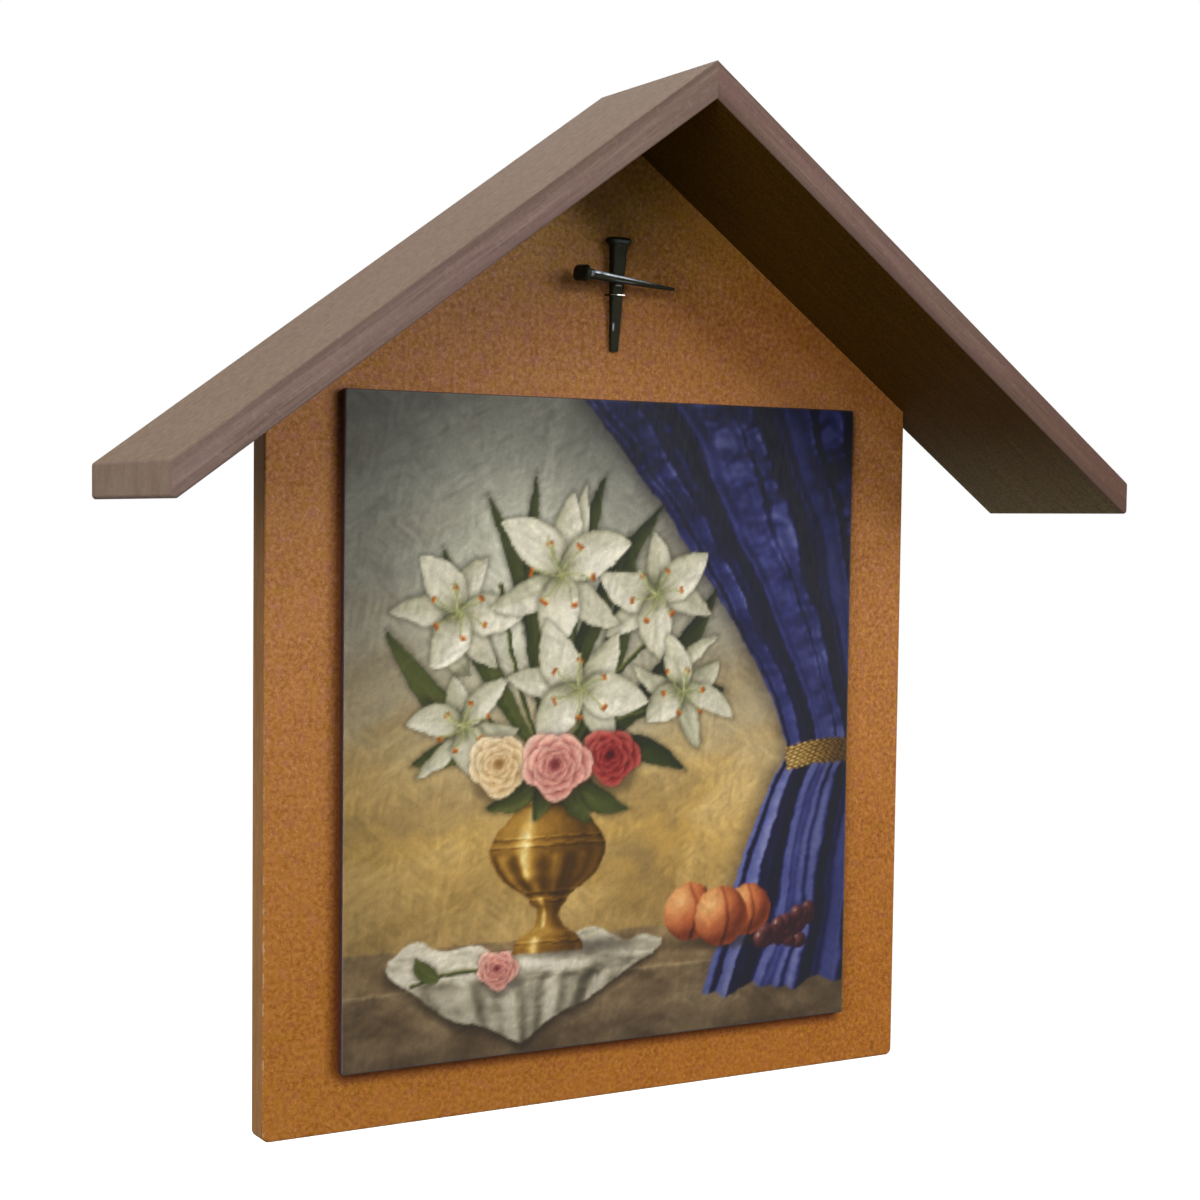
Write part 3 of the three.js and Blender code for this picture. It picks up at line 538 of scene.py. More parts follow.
def surface(tree, out, inputs):
    """The last step of a material: one principled shader with these inputs, linked to the output."""
    tree.links.new(add(tree, "BsdfPrincipled", inputs), out.inputs[0])


def dress(name, material):
    """Gives a CAD node its finish."""
    slots = nodes[name].data.materials
    slots.clear()
    slots.append(material)


print(len(nodes), "CAD nodes to dress or draw anew, with patterns in units of", MM, "m")

# %% Fibre board finish
FLECK_SIZE = 2.4


def fibre_board_finish():
    """Mottled stain on the faces, layered grey-brown on the cut edges, rubbed pale on the corners."""
    material, tree, out = new_material("fibre_board")
    low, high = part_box("backboard")
    place = millimetres(tree, centre=tuple((low + high) / 2))
    spot = parts_of(tree, "Object")
    facing = parts_of(tree, "Normal")["Y"]
    flecks = use_group(tree, speckle, Vector=place, Fleck_size=FLECK_SIZE)
    # The stain with painted light and painted shade from the tints.
    base = stain_and_painted_light(tree, mottled_stain(tree, flecks), place, spot)
    # Painted shadow: the board darkened beside the panel's left side and under its foot.
    panel_shadowed = sums(tree, "MULTIPLY", beside_panel(tree, spot), ramp(tree, facing, -0.4, -0.8))
    base = mix(tree, panel_shadowed, base, PANEL_PAINTED_SHADOW, "MULTIPLY")
    on_edge = ramp(tree, sums(tree, "ABSOLUTE", facing), 0.75, 0.35, 0.0, 0.9)
    base = mix(tree, on_edge, base, cut_edge(tree, place))
    half = tuple((high - low) / 2 / MM)
    worn = use_group(tree, worn_edges, Vector=place, Half_size=half, Width=2.4, Patch_size=5.0)
    low_down = ramp(tree, spot["Z"], -0.10, -0.36, 0.15, 0.60)
    base = mix(tree, sums(tree, "MULTIPLY", worn["Mask"], low_down), base, RUBBED)
    surface(tree, out, {
        "Base Color": base, "Roughness": ramp(tree, flecks["Fine"], 0.3, 0.7, 0.58, 0.78),
        "Normal": bump(tree, flecks["Fine"], 0.25, 0.25 * MM), "Specular IOR Level": 0.15,
    })
    return material


board_finish = fibre_board_finish()
dress("backboard", board_finish)
print("backboard finished with", len(board_finish.node_tree.nodes), "nodes")

# %% [markdown]
# ## Roof boards
# Each roof board is one planed board with a brown stain. Its grain runs from the eave to the ridge. A
# scanned picture of wood could be laid on each face, but its lines wouldn't meet at the edges. Here
# rings and fibres fill the space of the board, turned by the roof's pitch, so that they join from face
# to face. Both tops have weathered to the same tan. On the front the stain has gathered along the two
# long edges. Below its top, the right board is darkened towards its eave by painted shade. The plumb cut
# at the eave shows upright streaks. The underside is dark, partly from its stain and partly from painted
# shade, and lighter and greyer towards its outer end, partly from painted light.

# %% Grain of the roof boards
WOOD = colour(0.168, 0.110, 0.090)
WOOD_MAUVE = colour(0.190, 0.117, 0.106)
WOOD_PALE = colour(0.245, 0.176, 0.142)
WOOD_DARK = colour(0.085, 0.052, 0.042)
HEART_BELOW = 60.0
RING_WIDTH = 5.2


def roof_grain(tree, place, heart_across):
    """Straight grain: slow drift from brown to mauve, broad streaks, fine fibres, pores and flecks."""
    heart = (0.0, heart_across, -HEART_BELOW)
    grain = use_group(tree, wood_grain, Vector=place, Heart=heart, Ring_width=RING_WIDTH)
    flecks = use_group(tree, speckle, Vector=place, Fleck_size=1.4)
    base = mix(tree, ramp(tree, grain["Drift"], 0.38, 0.66), WOOD, WOOD_MAUVE)
    base = mix(tree, ramp(tree, grain["Bands"], 0.52, 0.72, 0.0, 0.68), base, WOOD_PALE)
    base = mix(tree, ramp(tree, grain["Bands"], 0.48, 0.28, 0.0, 0.58), base, WOOD_DARK)
    base = mix(tree, ramp(tree, grain["Fibres"], 0.46, 0.74, 0.0, 0.60), base, WOOD_PALE)
    base = mix(tree, sums(tree, "MULTIPLY", grain["Rings"], 0.14), base, WOOD_DARK)
    base = mix(tree, sums(tree, "MULTIPLY", grain["Pores"], 0.30), base, WOOD_DARK)
    base = mix(tree, ramp(tree, flecks["Flecks"], 0.50, 0.30, 0.0, 0.25), base, WOOD_DARK)
    base = mix(tree, ramp(tree, flecks["Hue"], 0.50, 0.70, 0.0, 0.30), base, WOOD_PALE)
    return base, grain, flecks


print("rings", RING_WIDTH, "mm wide about a heart", HEART_BELOW, "mm below the board's middle")

# %% Weathered tops
WEATHERED_TINT = colour(0.92, 0.92, 0.77)
WEATHERED_PALE = colour(0.210, 0.144, 0.098)
WEATHERED_DARK = colour(0.122, 0.081, 0.054)
WEATHERED_MAUVE = colour(0.179, 0.115, 0.091)
WEATHERED_SHARE = 0.60


def weathered_top(tree, base, place, on_top):
    """On top, the grain shows through a tan mottle of dark and pale, with blushes of mauve."""
    base = mix(tree, on_top, base, WEATHERED_TINT, "MULTIPLY")
    mottle = ramp(tree, noise(tree, place, 3.6, 3.0, 0.65), 0.32, 0.68)
    blush = ramp(tree, noise(tree, place, 9.0, 2.0), 0.45, 0.65, 0.0, 0.6)
    weathered = mix(tree, mottle, WEATHERED_DARK, WEATHERED_PALE)
    weathered = mix(tree, blush, weathered, WEATHERED_MAUVE)
    return mix(tree, sums(tree, "MULTIPLY", on_top, WEATHERED_SHARE), base, weathered)


print("tops weathered by", WEATHERED_SHARE)

# %% Front edges and cut ends
END_PALE = colour(0.236, 0.172, 0.126)
END_DARK = colour(0.182, 0.127, 0.092)


def gathered_stain(tree, place, grain, gathered_at):
    """How much stain has gathered towards the upper and the lower edge, unevenly along the board."""
    through = split(tree, place)["Z"]
    near_upper = ramp(tree, through, 0.5, 8.5, 0.0, gathered_at[0])
    near_lower = ramp(tree, through, -2.0, -8.5, 0.0, gathered_at[1])
    near_edge = sums(tree, "ADD", near_upper, near_lower)
    return sums(tree, "MULTIPLY", near_edge, ramp(tree, grain["Drift"], 0.25, 0.60, 0.55, 1.15))


def cut_end(tree, flecks):
    """Upright streaks, from noise drawn out along the height, with dark flecks."""
    drawn = stretched(tree, millimetres(tree), (0.02, 0.07, 0.03))
    streaks = ramp(tree, noise(tree, drawn, 1.0, 4.0, 0.55), 0.3, 0.7)
    dark = ramp(tree, flecks["Flecks"], 0.55, 0.30, 0.0, 0.25)
    return mix(tree, dark, mix(tree, streaks, END_DARK, END_PALE), WOOD_DARK)


print("cut ends from", END_DARK[:3], "to", END_PALE[:3])

# %% Sheltered underside, with painted shade and painted light
BLACK = colour(0.0, 0.0, 0.0)
# Underside tints: partly stain, partly painted shade near the ridge and painted light at the eave.
DEEP_STAIN_AND_SHADE = colour(0.46, 0.33, 0.010)
OUTER_GREY_AND_PAINTED_LIGHT = colour(1.91, 2.69, 1.90)
GREYED_AND_LIT_FROM = (0.245, 0.375)


def underside_stain_and_light(tree, base, sheltered, from_ridge, flecks):
    """The sheltered face, dark towards the ridge, lighter and grey towards the eave, with black flecks.
    The tint is partly stain, partly painted shade near the ridge and painted light near the eave.
    """
    tint = mix(tree, ramp(tree, from_ridge, *GREYED_AND_LIT_FROM), DEEP_STAIN_AND_SHADE, OUTER_GREY_AND_PAINTED_LIGHT)
    base = mix(tree, sheltered, base, tint, "MULTIPLY")
    black = ramp(tree, flecks["Flecks"], 0.30, 0.70, 0.0, 0.55)
    return mix(tree, sums(tree, "MULTIPLY", sheltered, black), base, BLACK)


print("underside greys between", *GREYED_AND_LIT_FROM, "m from the ridge")

# %% Roof wood finish
EAVE_RISE = (0.12, 0.34)
TOP_TINTS = (colour(1.02, 1.03, 1.02), colour(1.14, 1.20, 1.20))
# On the right board's faces below the top: painted shade, darkest at the eave.
RIGHT_PAINTED_SHADE = (colour(0.92, 0.87, 0.83), colour(0.72, 0.60, 0.54))
BOARD_TONES = {
    # name: (grain's heart across in mm, tints at ridge and eave, stain gathered at upper and lower edge)
    "roof_board_left": (22.0, TOP_TINTS, (0.45, 0.30)),
    "roof_board_right": (-34.0, RIGHT_PAINTED_SHADE, (0.30, 0.62)),
}


def roof_wood_finish(name):
    """The grain, tinted by which way each face of the board looks and by how near it is to the eave. On
    the right board, all but the top are darkened towards the eave by painted shade.
    """
    material, tree, out = new_material(name + "_wood")
    low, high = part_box(name)
    heart_across, board_tints, gathered_at = BOARD_TONES[name]
    place = millimetres(tree, slope_turn(name), tuple((low + high) / 2))
    base, grain, flecks = roof_grain(tree, place, heart_across)
    facing = parts_of(tree, "Normal")
    from_ridge = sums(tree, "ABSOLUTE", parts_of(tree, "Object")["X"])
    on_top = ramp(tree, facing["Z"], 0.45, 0.78)
    base = weathered_top(tree, base, place, on_top)
    near_eave = ramp(tree, from_ridge, *EAVE_RISE)
    # Tint by facing and by nearness to the eave; on the right board it is painted shade.
    tint = mix(tree, on_top, mix(tree, near_eave, *board_tints), mix(tree, near_eave, *TOP_TINTS))
    base = mix(tree, 1.0, base, tint, "MULTIPLY")
    gathered = gathered_stain(tree, place, grain, gathered_at)
    on_front = ramp(tree, facing["Y"], -0.5, -0.9)
    base = mix(tree, sums(tree, "MULTIPLY", gathered, on_front), base, WOOD_DARK)
    plumb_cut = ramp(tree, sums(tree, "ABSOLUTE", facing["X"]), 0.75, 0.95, 0.0, 0.9)
    base = mix(tree, plumb_cut, base, cut_end(tree, flecks))
    inward = sums(tree, "MULTIPLY", facing["X"], math.copysign(1.0, slope_turn(name)))
    downward = ramp(tree, facing["Z"], -0.62, -0.78)
    sheltered = sums(tree, "MULTIPLY", ramp(tree, inward, 0.30, 0.50), downward)
    # Underside: stain with painted shade towards the ridge and painted light towards the eave.
    base = underside_stain_and_light(tree, base, sheltered, from_ridge, flecks)
    height = sums(tree, "SUBTRACT", grain["Fibres"], sums(tree, "MULTIPLY", grain["Pores"], 0.6))
    surface(tree, out, {
        "Base Color": base, "Roughness": ramp(tree, grain["Fibres"], 0.3, 0.7, 0.72, 0.88),
        "Normal": bump(tree, height, 0.35, 0.3 * MM), "Specular IOR Level": 0.06,
    })
    return material


for board in BOARD_TONES:
    dress(board, roof_wood_finish(board))
    print(board, "turned by", round(math.degrees(slope_turn(board)), 2), "degrees")

# %% [markdown]
# ## Picture panel
# The panel is a stiff board with dark painted edges. Foam tape holds it a millimetre off the backboard,
# so that a narrow gap runs round it. The gap could be a dark painted line, but a real one throws a
# shadow that changes with the light. A painted shadow on the backboard deepens it along the left side
# and under the foot. So the CAD solids are kept, and only get their paint and foam.

# %% Panel paint
PANEL_PAINT = colour(0.042, 0.016, 0.019)
PANEL_WORN = colour(0.110, 0.060, 0.052)


def panel_finish():
    """Dark maroon paint with a slow cloud in it, thinner on the corners."""
    material, tree, out = new_material("panel_board")
    low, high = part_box("picture_panel")
    place = millimetres(tree, centre=tuple((low + high) / 2))
    half = tuple((high - low) / 2 / MM)
    flecks = use_group(tree, speckle, Vector=place, Fleck_size=1.2)
    worn = use_group(tree, worn_edges, Vector=place, Half_size=half, Width=0.5, Patch_size=6.0)
    base = mix(tree, ramp(tree, flecks["Cloud"], 0.3, 0.7, 0.0, 0.25), PANEL_PAINT, PANEL_WORN)
    base = mix(tree, sums(tree, "MULTIPLY", worn["Mask"], 0.6), base, PANEL_WORN)
    surface(tree, out, {
        "Base Color": base, "Roughness": ramp(tree, flecks["Fine"], 0.3, 0.7, 0.42, 0.60),
        "Normal": bump(tree, flecks["Fine"], 0.2, 0.2 * MM), "Specular IOR Level": 0.25,
    })
    return material


dress("picture_panel", panel_finish())
print("panel painted")

# %% Foam tape
FOAM = colour(0.130, 0.135, 0.138)
FOAM_CELL = colour(0.060, 0.062, 0.066)


def foam_finish():
    """Closed-cell foam: small dark cells in grey."""
    material, tree, out = new_material("foam_tape")
    cells = add(tree, "TexVoronoi", {"Vector": millimetres(tree), "Scale": 1.6}, "Distance")
    base = mix(tree, ramp(tree, cells, 0.15, 0.55), FOAM_CELL, FOAM)
    relief_of_cells = bump(tree, cells, 0.4, 0.3 * MM)
    surface(tree, out, {"Base Color": base, "Roughness": 0.85, "Normal": relief_of_cells})
    return material


foam = foam_finish()
TAPE_SIDES = ("top", "bottom", "left", "right")
for side in TAPE_SIDES:
    dress("mounting_tape_" + side, foam)
print(len(TAPE_SIDES), "strips of tape finished")

# %% [markdown]
# ## Painting
# The picture is a still life: lilies and roses in a gilt urn on a stone ledge, with fruit, linen and a
# blue curtain, before a clouded sky. A finished picture could be laid on the film, but this script reads
# no other file. So it is painted here as a painter would, from the back to the front, on a canvas of
# numbers in millimetres from its middle. Each brush is a formula that gives a mask and a scale of tones.
# The canvas is twice as fine as the film's grid and is averaged down at the end.

# %% Canvas
COLUMNS, ROWS = 296, 324
FINER = 2

film_low, film_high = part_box("picture_film")
film_half = np.array(film_high - film_low)[[0, 2]] / 2 / MM
paint_x = np.linspace(-film_half[0], film_half[0], COLUMNS * FINER)
paint_z = np.linspace(-film_half[1], film_half[1], ROWS * FINER)
X, Z = np.meshgrid(paint_x, paint_z)
canvas = np.zeros((*X.shape, 3))


def tell(step):
    """Prints the mean tone of the canvas after a step, from 0 to 255."""
    print(step, "painted, mean tone", (255 * canvas.mean(axis=(0, 1))).round().astype(int).tolist())


print("canvas of", canvas.shape[1], "by", canvas.shape[0], "points")

# %% Smooth steps and clouds
CLOUD_TABLE = 64


def smooth(value, start, end):
    """A smooth step from 0 at start to 1 at end."""
    t = np.clip((value - start) / (end - start), 0, 1)
    return t * t * (3 - 2 * t)


def cloud(x, z, seed, octaves=5):
    """Value noise from 0 to 1: random numbers on a grid, blended smoothly, summed at halving sizes."""
    table = np.random.default_rng(seed).random((CLOUD_TABLE, CLOUD_TABLE))
    total, weight = 0.0, 0.5
    for _ in range(octaves):
        column, row = np.floor(x).astype(int), np.floor(z).astype(int)
        right, up = smooth(x - column, 0, 1), smooth(z - row, 0, 1)
        columns = column % CLOUD_TABLE, (column + 1) % CLOUD_TABLE
        rows = row % CLOUD_TABLE, (row + 1) % CLOUD_TABLE
        low = table[rows[0], columns[0]] * (1 - right) + table[rows[0], columns[1]] * right
        high = table[rows[1], columns[0]] * (1 - right) + table[rows[1], columns[1]] * right
        total = total + weight * (low * (1 - up) + high * up)
        x, z, weight = 2.03 * x + 11.7, 2.03 * z + 5.3, weight / 2
    return total / (1 - 0.5 ** octaves)


print("first cloud at the middle of the canvas:", cloud(np.zeros(1), np.zeros(1), 1).round(2))

# %% Tones and brushes
WHOLE = np.s_[:, :]


def shades(value, tones):
    """Colours along a scale: tones maps places from 0 to 1 to colours in 0 to 255."""
    table = np.array(list(tones.values())) / 255
    return np.stack([np.interp(value, list(tones), table[:, part]) for part in range(3)], axis=-1)


def lay(mask, tone, window=WHOLE):
    """Lays a colour, or an array of colours, over a window of the canvas as thickly as the mask says."""
    tone = tone if isinstance(tone, np.ndarray) else np.array(tone) / 255
    canvas[window] += mask[..., None] * (tone - canvas[window])


print("a brush covers", X.size, "points, or a window of them")

# %% Light and windows
LIGHT_FRONT, LIGHT_LEFT, LIGHT_ABOVE = 0.62, 0.60, 0.50


def relief(height, strength):
    """Light on a relief from the upper left: 0.5 on the flat, more on slopes that face the light."""
    slope_z, slope_x = np.gradient(strength * height, paint_x[1] - paint_x[0])
    facing = LIGHT_FRONT + LIGHT_LEFT * slope_x - LIGHT_ABOVE * slope_z
    lit = facing / np.sqrt(1 + slope_x ** 2 + slope_z ** 2)
    return np.clip(0.5 + 0.9 * (lit - LIGHT_FRONT), 0, 1)


def around(x, z, reach):
    """The window of the canvas within a reach of a point, with its two coordinates."""
    columns = np.searchsorted(paint_x, (x - reach, x + reach))
    rows = np.searchsorted(paint_z, (z - reach, z + reach))
    window = np.s_[rows[0]:rows[1], columns[0]:columns[1]]
    return window, X[window], Z[window]


print("light on a flat relief:", relief(np.zeros((2, 2)), 1.0)[0, 0])

# %% [markdown]
# ### Sky and ledge
# Far back is a clouded sky, gold below and grey above, with a pale glow in it, and nearer is a ledge of
# stone. A photograph of clouds would bring its own light and grain. Noise bent by other noise gives
# drifting clouds in the painting's own tones, and plain noise gives the stone.

# %% Sky
GLOW_X, GLOW_Z = -62.0, 92.0
warp = cloud(X / 95, Z / 60, 1)
drift = cloud(X / 120 + 1.6 * warp, Z / 48 + 0.9 * warp - X / 260, 2, 6)
wisps = cloud((X + 0.6 * Z) / 34, (Z - 0.3 * X) / 9 + 2 * warp, 3, 4)
level = Z / (2 * film_half[1]) + 0.5 + 0.20 * (drift - 0.5) + 0.03 * (wisps - 0.5)
lay(np.ones_like(X), shades(level, {
    0.00: (96, 80, 58), 0.20: (150, 122, 70), 0.33: (188, 152, 80), 0.43: (190, 160, 100),
    0.55: (160, 148, 120), 0.72: (132, 131, 120), 0.88: (110, 112, 106), 1.00: (92, 92, 86),
}))
billow = smooth(drift + 0.18 * (wisps - 0.5), 0.46, 0.66)
pale_cloud = {0.0: (176, 150, 100), 0.4: (214, 184, 126), 0.7: (166, 164, 150), 1.0: (140, 140, 132)}
dark_cloud = {0.0: (90, 72, 50), 0.45: (140, 118, 82), 1.0: (70, 72, 70)}
lay(0.42 * billow, shades(level, pale_cloud))
lay(0.38 * smooth(drift, 0.44, 0.28), shades(level, dark_cloud))
from_glow = np.hypot(X - GLOW_X, 0.92 * (Z - GLOW_Z))
bearing = np.arctan2(Z - GLOW_Z, X - GLOW_X)
rays = cloud(5 * np.cos(bearing) + 30, 5 * np.sin(bearing) + 30, 4, 4)
lay(0.55 * np.exp(-(from_glow / 105) ** 2), (186, 190, 176))
lay(0.50 * np.exp(-from_glow / 80) * smooth(rays, 0.36, 0.74), (214, 218, 204))
lay(0.70 * np.exp(-(from_glow / 52) ** 2), (230, 232, 216))
tell("sky")

# %% Ledge
LEDGE_BACK, LEDGE_EDGE = -140.0, -166.0
stone = cloud(X / 26, Z / 12, 9, 5)
top_face = smooth(LEDGE_BACK - Z, -0.5, 0.5)
lay(top_face, shades(stone, {0.3: (112, 92, 66), 0.7: (150, 128, 92)}))
front_face = smooth(LEDGE_EDGE - Z, -0.6, 0.6)
lay(front_face, shades(stone, {0.25: (88, 72, 52), 0.5: (122, 103, 77), 0.8: (158, 138, 106)}))
lay(front_face * smooth(LEDGE_EDGE - Z, 3.5, 0) * 0.55, (206, 184, 142))
lay(front_face * smooth(LEDGE_EDGE - Z, 10, 50) * 0.40, (60, 46, 34))
tell("ledge")

# %% [markdown]
# ### Curtain and cord
# A blue curtain hangs on the right, tied back with a gilt cord. Cloth could be simulated and then drawn,
# but on a flat picture only its light and shade count. So the folds are a sum of waves, read as a relief
# and lit from the upper left. The hem swings out to the left above the tie and again below it. Each
# strand of the cord is a band, light and dark by turns.

# %% Curtain
TIE_X, TIE_Z = 152.0, -28.0
CURTAIN_RIGHT = 250.0
above = np.clip(Z - TIE_Z, 0, None) / 243
below = np.clip(TIE_Z - Z, 0, None) / 140
hem = TIE_X - 8 - 168 * above ** 1.35 - 62 * below ** 0.75 + 5 * (cloud(Z / 30, 0 * Z, 5, 3) - 0.5)
across = (X - hem) / (CURTAIN_RIGHT - hem)
sway = 0.10 * (cloud(across * 3, Z / 70, 6, 3) - 0.5)
folds = sum(
    size * (0.5 - 0.5 * np.cos(2 * np.pi * (count * (across + sway) + turn)))
    for count, size, turn in ((3.2, 1.0, 0.15), (6.1, 0.50, 0.60), (11.0, 0.22, 0.30), (19.0, 0.07, 0.1))
)
depth = (CURTAIN_RIGHT - hem) * 0.13 * folds ** 1.25 * (0.6 + 0.8 * cloud(X / 50, Z / 38, 7, 4))
depth = depth * (1 - 0.5 * smooth(TIE_Z - Z, 0, 30))
lit = relief(depth, 1.0) + 0.08 * (cloud(X / 5, Z / 16, 8, 3) - 0.5)
lit = np.clip(lit - 0.22 * smooth(across, 0.25, 0.9) + 0.10 * smooth(folds, 0.8, 1.4), 0, 1)
hanging = smooth(X - hem, -0.8, 0.8) * smooth(-Z, 186 + 6 * folds, 184 + 6 * folds)
lay(0.45 * smooth(X - hem, -18, 4) * smooth(-Z, 200, 150), (34, 28, 30))
lay(hanging, shades(lit, {
    0.00: (10, 10, 28), 0.25: (20, 21, 58), 0.45: (38, 41, 94), 0.65: (62, 67, 128),
    0.85: (100, 106, 164), 1.00: (150, 154, 192),
}))
tell("curtain")

# %% Cord
GILT = {
    0.0: (44, 28, 10), 0.3: (98, 68, 26), 0.55: (158, 116, 48), 0.8: (214, 178, 96),
    1.0: (246, 228, 168),
}
for strand in range(7):
    place = TIE_Z + 7 - 2.4 * strand + 3.2 * np.sin((X - TIE_X) / 20)
    rope = smooth(np.abs(Z - place), 1.7, 0.9) * smooth(X, TIE_X - 10, TIE_X - 8)
    twist = 0.55 + 0.4 * np.sin(1.15 * X + 1.4 * (Z - place) + 1.7 * strand)
    lay(rope, shades(twist - 0.45 * smooth(X, 150, 196), GILT))
tell("cord")

# %% [markdown]
# ### Linen and urn
# On the ledge lie a cloth with a hanging corner and an urn of gilt metal. The urn could be modelled, lit
# and copied in. But a turned body needs only its profile, because its light depends on how far round and
# how steep each place is. The cloth is a relief, as the curtain is: rumpled where it lies, and creased
# where it drops over the edge.

# %% Linen
LINEN_X = -66.0
from_middle = np.abs(X - LINEN_X + 6 * np.sin(Z / 17)) / 104
linen_back = -141 - 4 * np.sin(X / 19) - 3 * np.sin(X / 7.3) - 6 * smooth(from_middle, 0.8, 1.0)
corner = np.clip(1 - from_middle, 0, None) ** 0.72
linen_end = -149 - 58 * corner + 1.8 * np.sin(X / 8.5)
linen = smooth(Z, linen_end - 0.8, linen_end + 0.8) * smooth(Z, linen_back + 0.8, linen_back - 0.8)
linen = linen * smooth(from_middle, 1.0, 0.985)
drop = smooth(-Z, 161, 169)
below_edge = np.clip(LEDGE_EDGE - Z, 0, None)
spread = (X - LINEN_X) * (1 + 0.010 * below_edge) + 9 * cloud(X / 34, Z / 30, 10, 3)
crease = 2.4 * np.cos(spread / 6.4) + 1.0 * np.cos(spread / 2.9 + 1)
rumple = 9 * cloud(X / 26 + Z / 34, Z / 11, 11, 3)
soft = relief(rumple * (1 - drop) + (crease + 0.35 * rumple) * drop, 0.62)
soft = soft + 0.20 - 0.20 * drop + 0.05 * (cloud(X / 4, Z / 4, 12, 3) - 0.5) - 0.12 * smooth(X, -60, 30)
below_linen = smooth(Z, linen_end - 10, linen_end) * smooth(-Z, 146, 156) * smooth(from_middle, 1.1, 0.9)
lay(0.55 * below_linen, (14, 10, 8))
lay(linen, shades(np.clip(soft, 0, 1), {
    0.0: (58, 54, 44), 0.25: (112, 106, 90), 0.5: (176, 170, 150), 0.75: (224, 219, 203),
    1.0: (248, 245, 236),
}))
tell("linen")

# %% Outline and light of the urn
URN_X, URN_FOOT, URN_LIP = -48.0, -150.0, -36.0
URN_PROFILE = {
    0.00: 27, 0.05: 27, 0.06: 24, 0.10: 22, 0.14: 12, 0.20: 8, 0.26: 9, 0.29: 15, 0.32: 13, 0.36: 22,
    0.44: 36, 0.54: 43, 0.62: 44, 0.70: 40, 0.78: 31, 0.84: 25, 0.90: 23, 0.94: 26, 0.97: 31, 1.00: 33,
}
rise = (Z - URN_FOOT) / (URN_LIP - URN_FOOT)
steps = np.linspace(0, 1, 200)
profile = np.interp(steps, list(URN_PROFILE), list(URN_PROFILE.values()))
profile = np.convolve(np.pad(profile, 4, mode="edge"), np.ones(9) / 9, mode="valid")
radius = np.interp(rise, steps, profile)
turn = np.clip((X - URN_X) / radius, -1, 1)
flutes = np.sin(np.arcsin(turn) * 12) * smooth(rise, 0.34, 0.38) * smooth(rise, 0.60, 0.56)
lean = np.gradient(profile, steps * (URN_LIP - URN_FOOT))
lean = np.interp(rise, steps, lean)
front = np.sqrt(1 - 0.98 * turn ** 2)
glint = np.clip(0.62 * front - 0.50 * turn - 0.22 * lean + 0.30 * flutes, 0, 1)
print("urn", URN_LIP - URN_FOOT, "mm high, at most", round(2 * profile.max(), 1), "mm wide")

# %% Urn
gleam = np.exp(-((turn + 0.42 + 0.08 * flutes) / 0.13) ** 2) * (1 - smooth(np.abs(lean), 0.5, 1.6))
bounce = 0.16 * np.exp(-((turn - 0.86) / 0.10) ** 2)
sheen = 0.10 + 0.52 * glint ** 1.3 + 0.42 * gleam + bounce + 0.10 * (cloud(X / 9, Z / 9, 13, 4) - 0.5)
for ring in (0.055, 0.30, 0.345, 0.62, 0.665, 0.86):
    sheen = sheen - 0.22 * np.exp(-((rise - ring) / 0.006) ** 2)
    sheen = sheen + 0.14 * np.exp(-((rise - ring - 0.014) / 0.006) ** 2)
upright = smooth(rise, -0.006, 0.006) * smooth(rise, 1.006, 0.994)
urn = smooth(np.abs(X - URN_X) - radius, 0.6, -0.6) * upright
cast = np.hypot((X - URN_X - 26) / 60, (Z - URN_FOOT - 1) / 8)
lay(0.62 * smooth(cast, 1.1, 0.2), (40, 32, 24))
lay(urn, shades(np.clip(sheen, 0, 1), GILT))
tell("urn")

# %% [markdown]
# ### Leaves and flowers
# The bouquet has leaves and stems, white lilies and three roses. All could be drawn by hand, stroke by
# stroke. One function for a petal and one for a stem were chosen instead, both strokes along a bent line,
# so that a lily is a ring of calls about its throat, and a rose is a spiral of cupped petals.

# %% Strokes along a bent line
def bend(start, end, sag, count=36):
    """Points of a curve from start to end, whose middle is pushed sideways by sag times its length."""
    start, end = np.array(start, float), np.array(end, float)
    reach = end - start
    middle = (start + end) / 2 + 2 * sag * np.array((-reach[1], reach[0]))
    t = np.linspace(0, 1, count)[:, None]
    return (1 - t) ** 2 * start + 2 * t * (1 - t) * middle + t ** 2 * end


def along(spine, x, z):
    """For each point, how far along the spine it lies, from 0 to 1, and its signed distance to it."""
    course = np.gradient(spine, axis=0)
    step = np.linalg.norm(course, axis=1)
    course = course / step[:, None]
    nearest = ((x[..., None] - spine[:, 0]) ** 2 + (z[..., None] - spine[:, 1]) ** 2).argmin(axis=-1)
    off_x, off_z = x - spine[nearest, 0], z - spine[nearest, 1]
    forward = off_x * course[nearest, 0] + off_z * course[nearest, 1]
    side = off_z * course[nearest, 0] - off_x * course[nearest, 1]
    part = np.clip((nearest + forward / step[nearest]) / (len(spine) - 1), 0, 1)
    past = np.where((nearest == 0) | (nearest == len(spine) - 1), forward, 0.0)
    return part, np.copysign(np.hypot(side, past), side)


print("middle of a bent line:", bend((0, 0), (10, 0), 0.1, 3)[1])


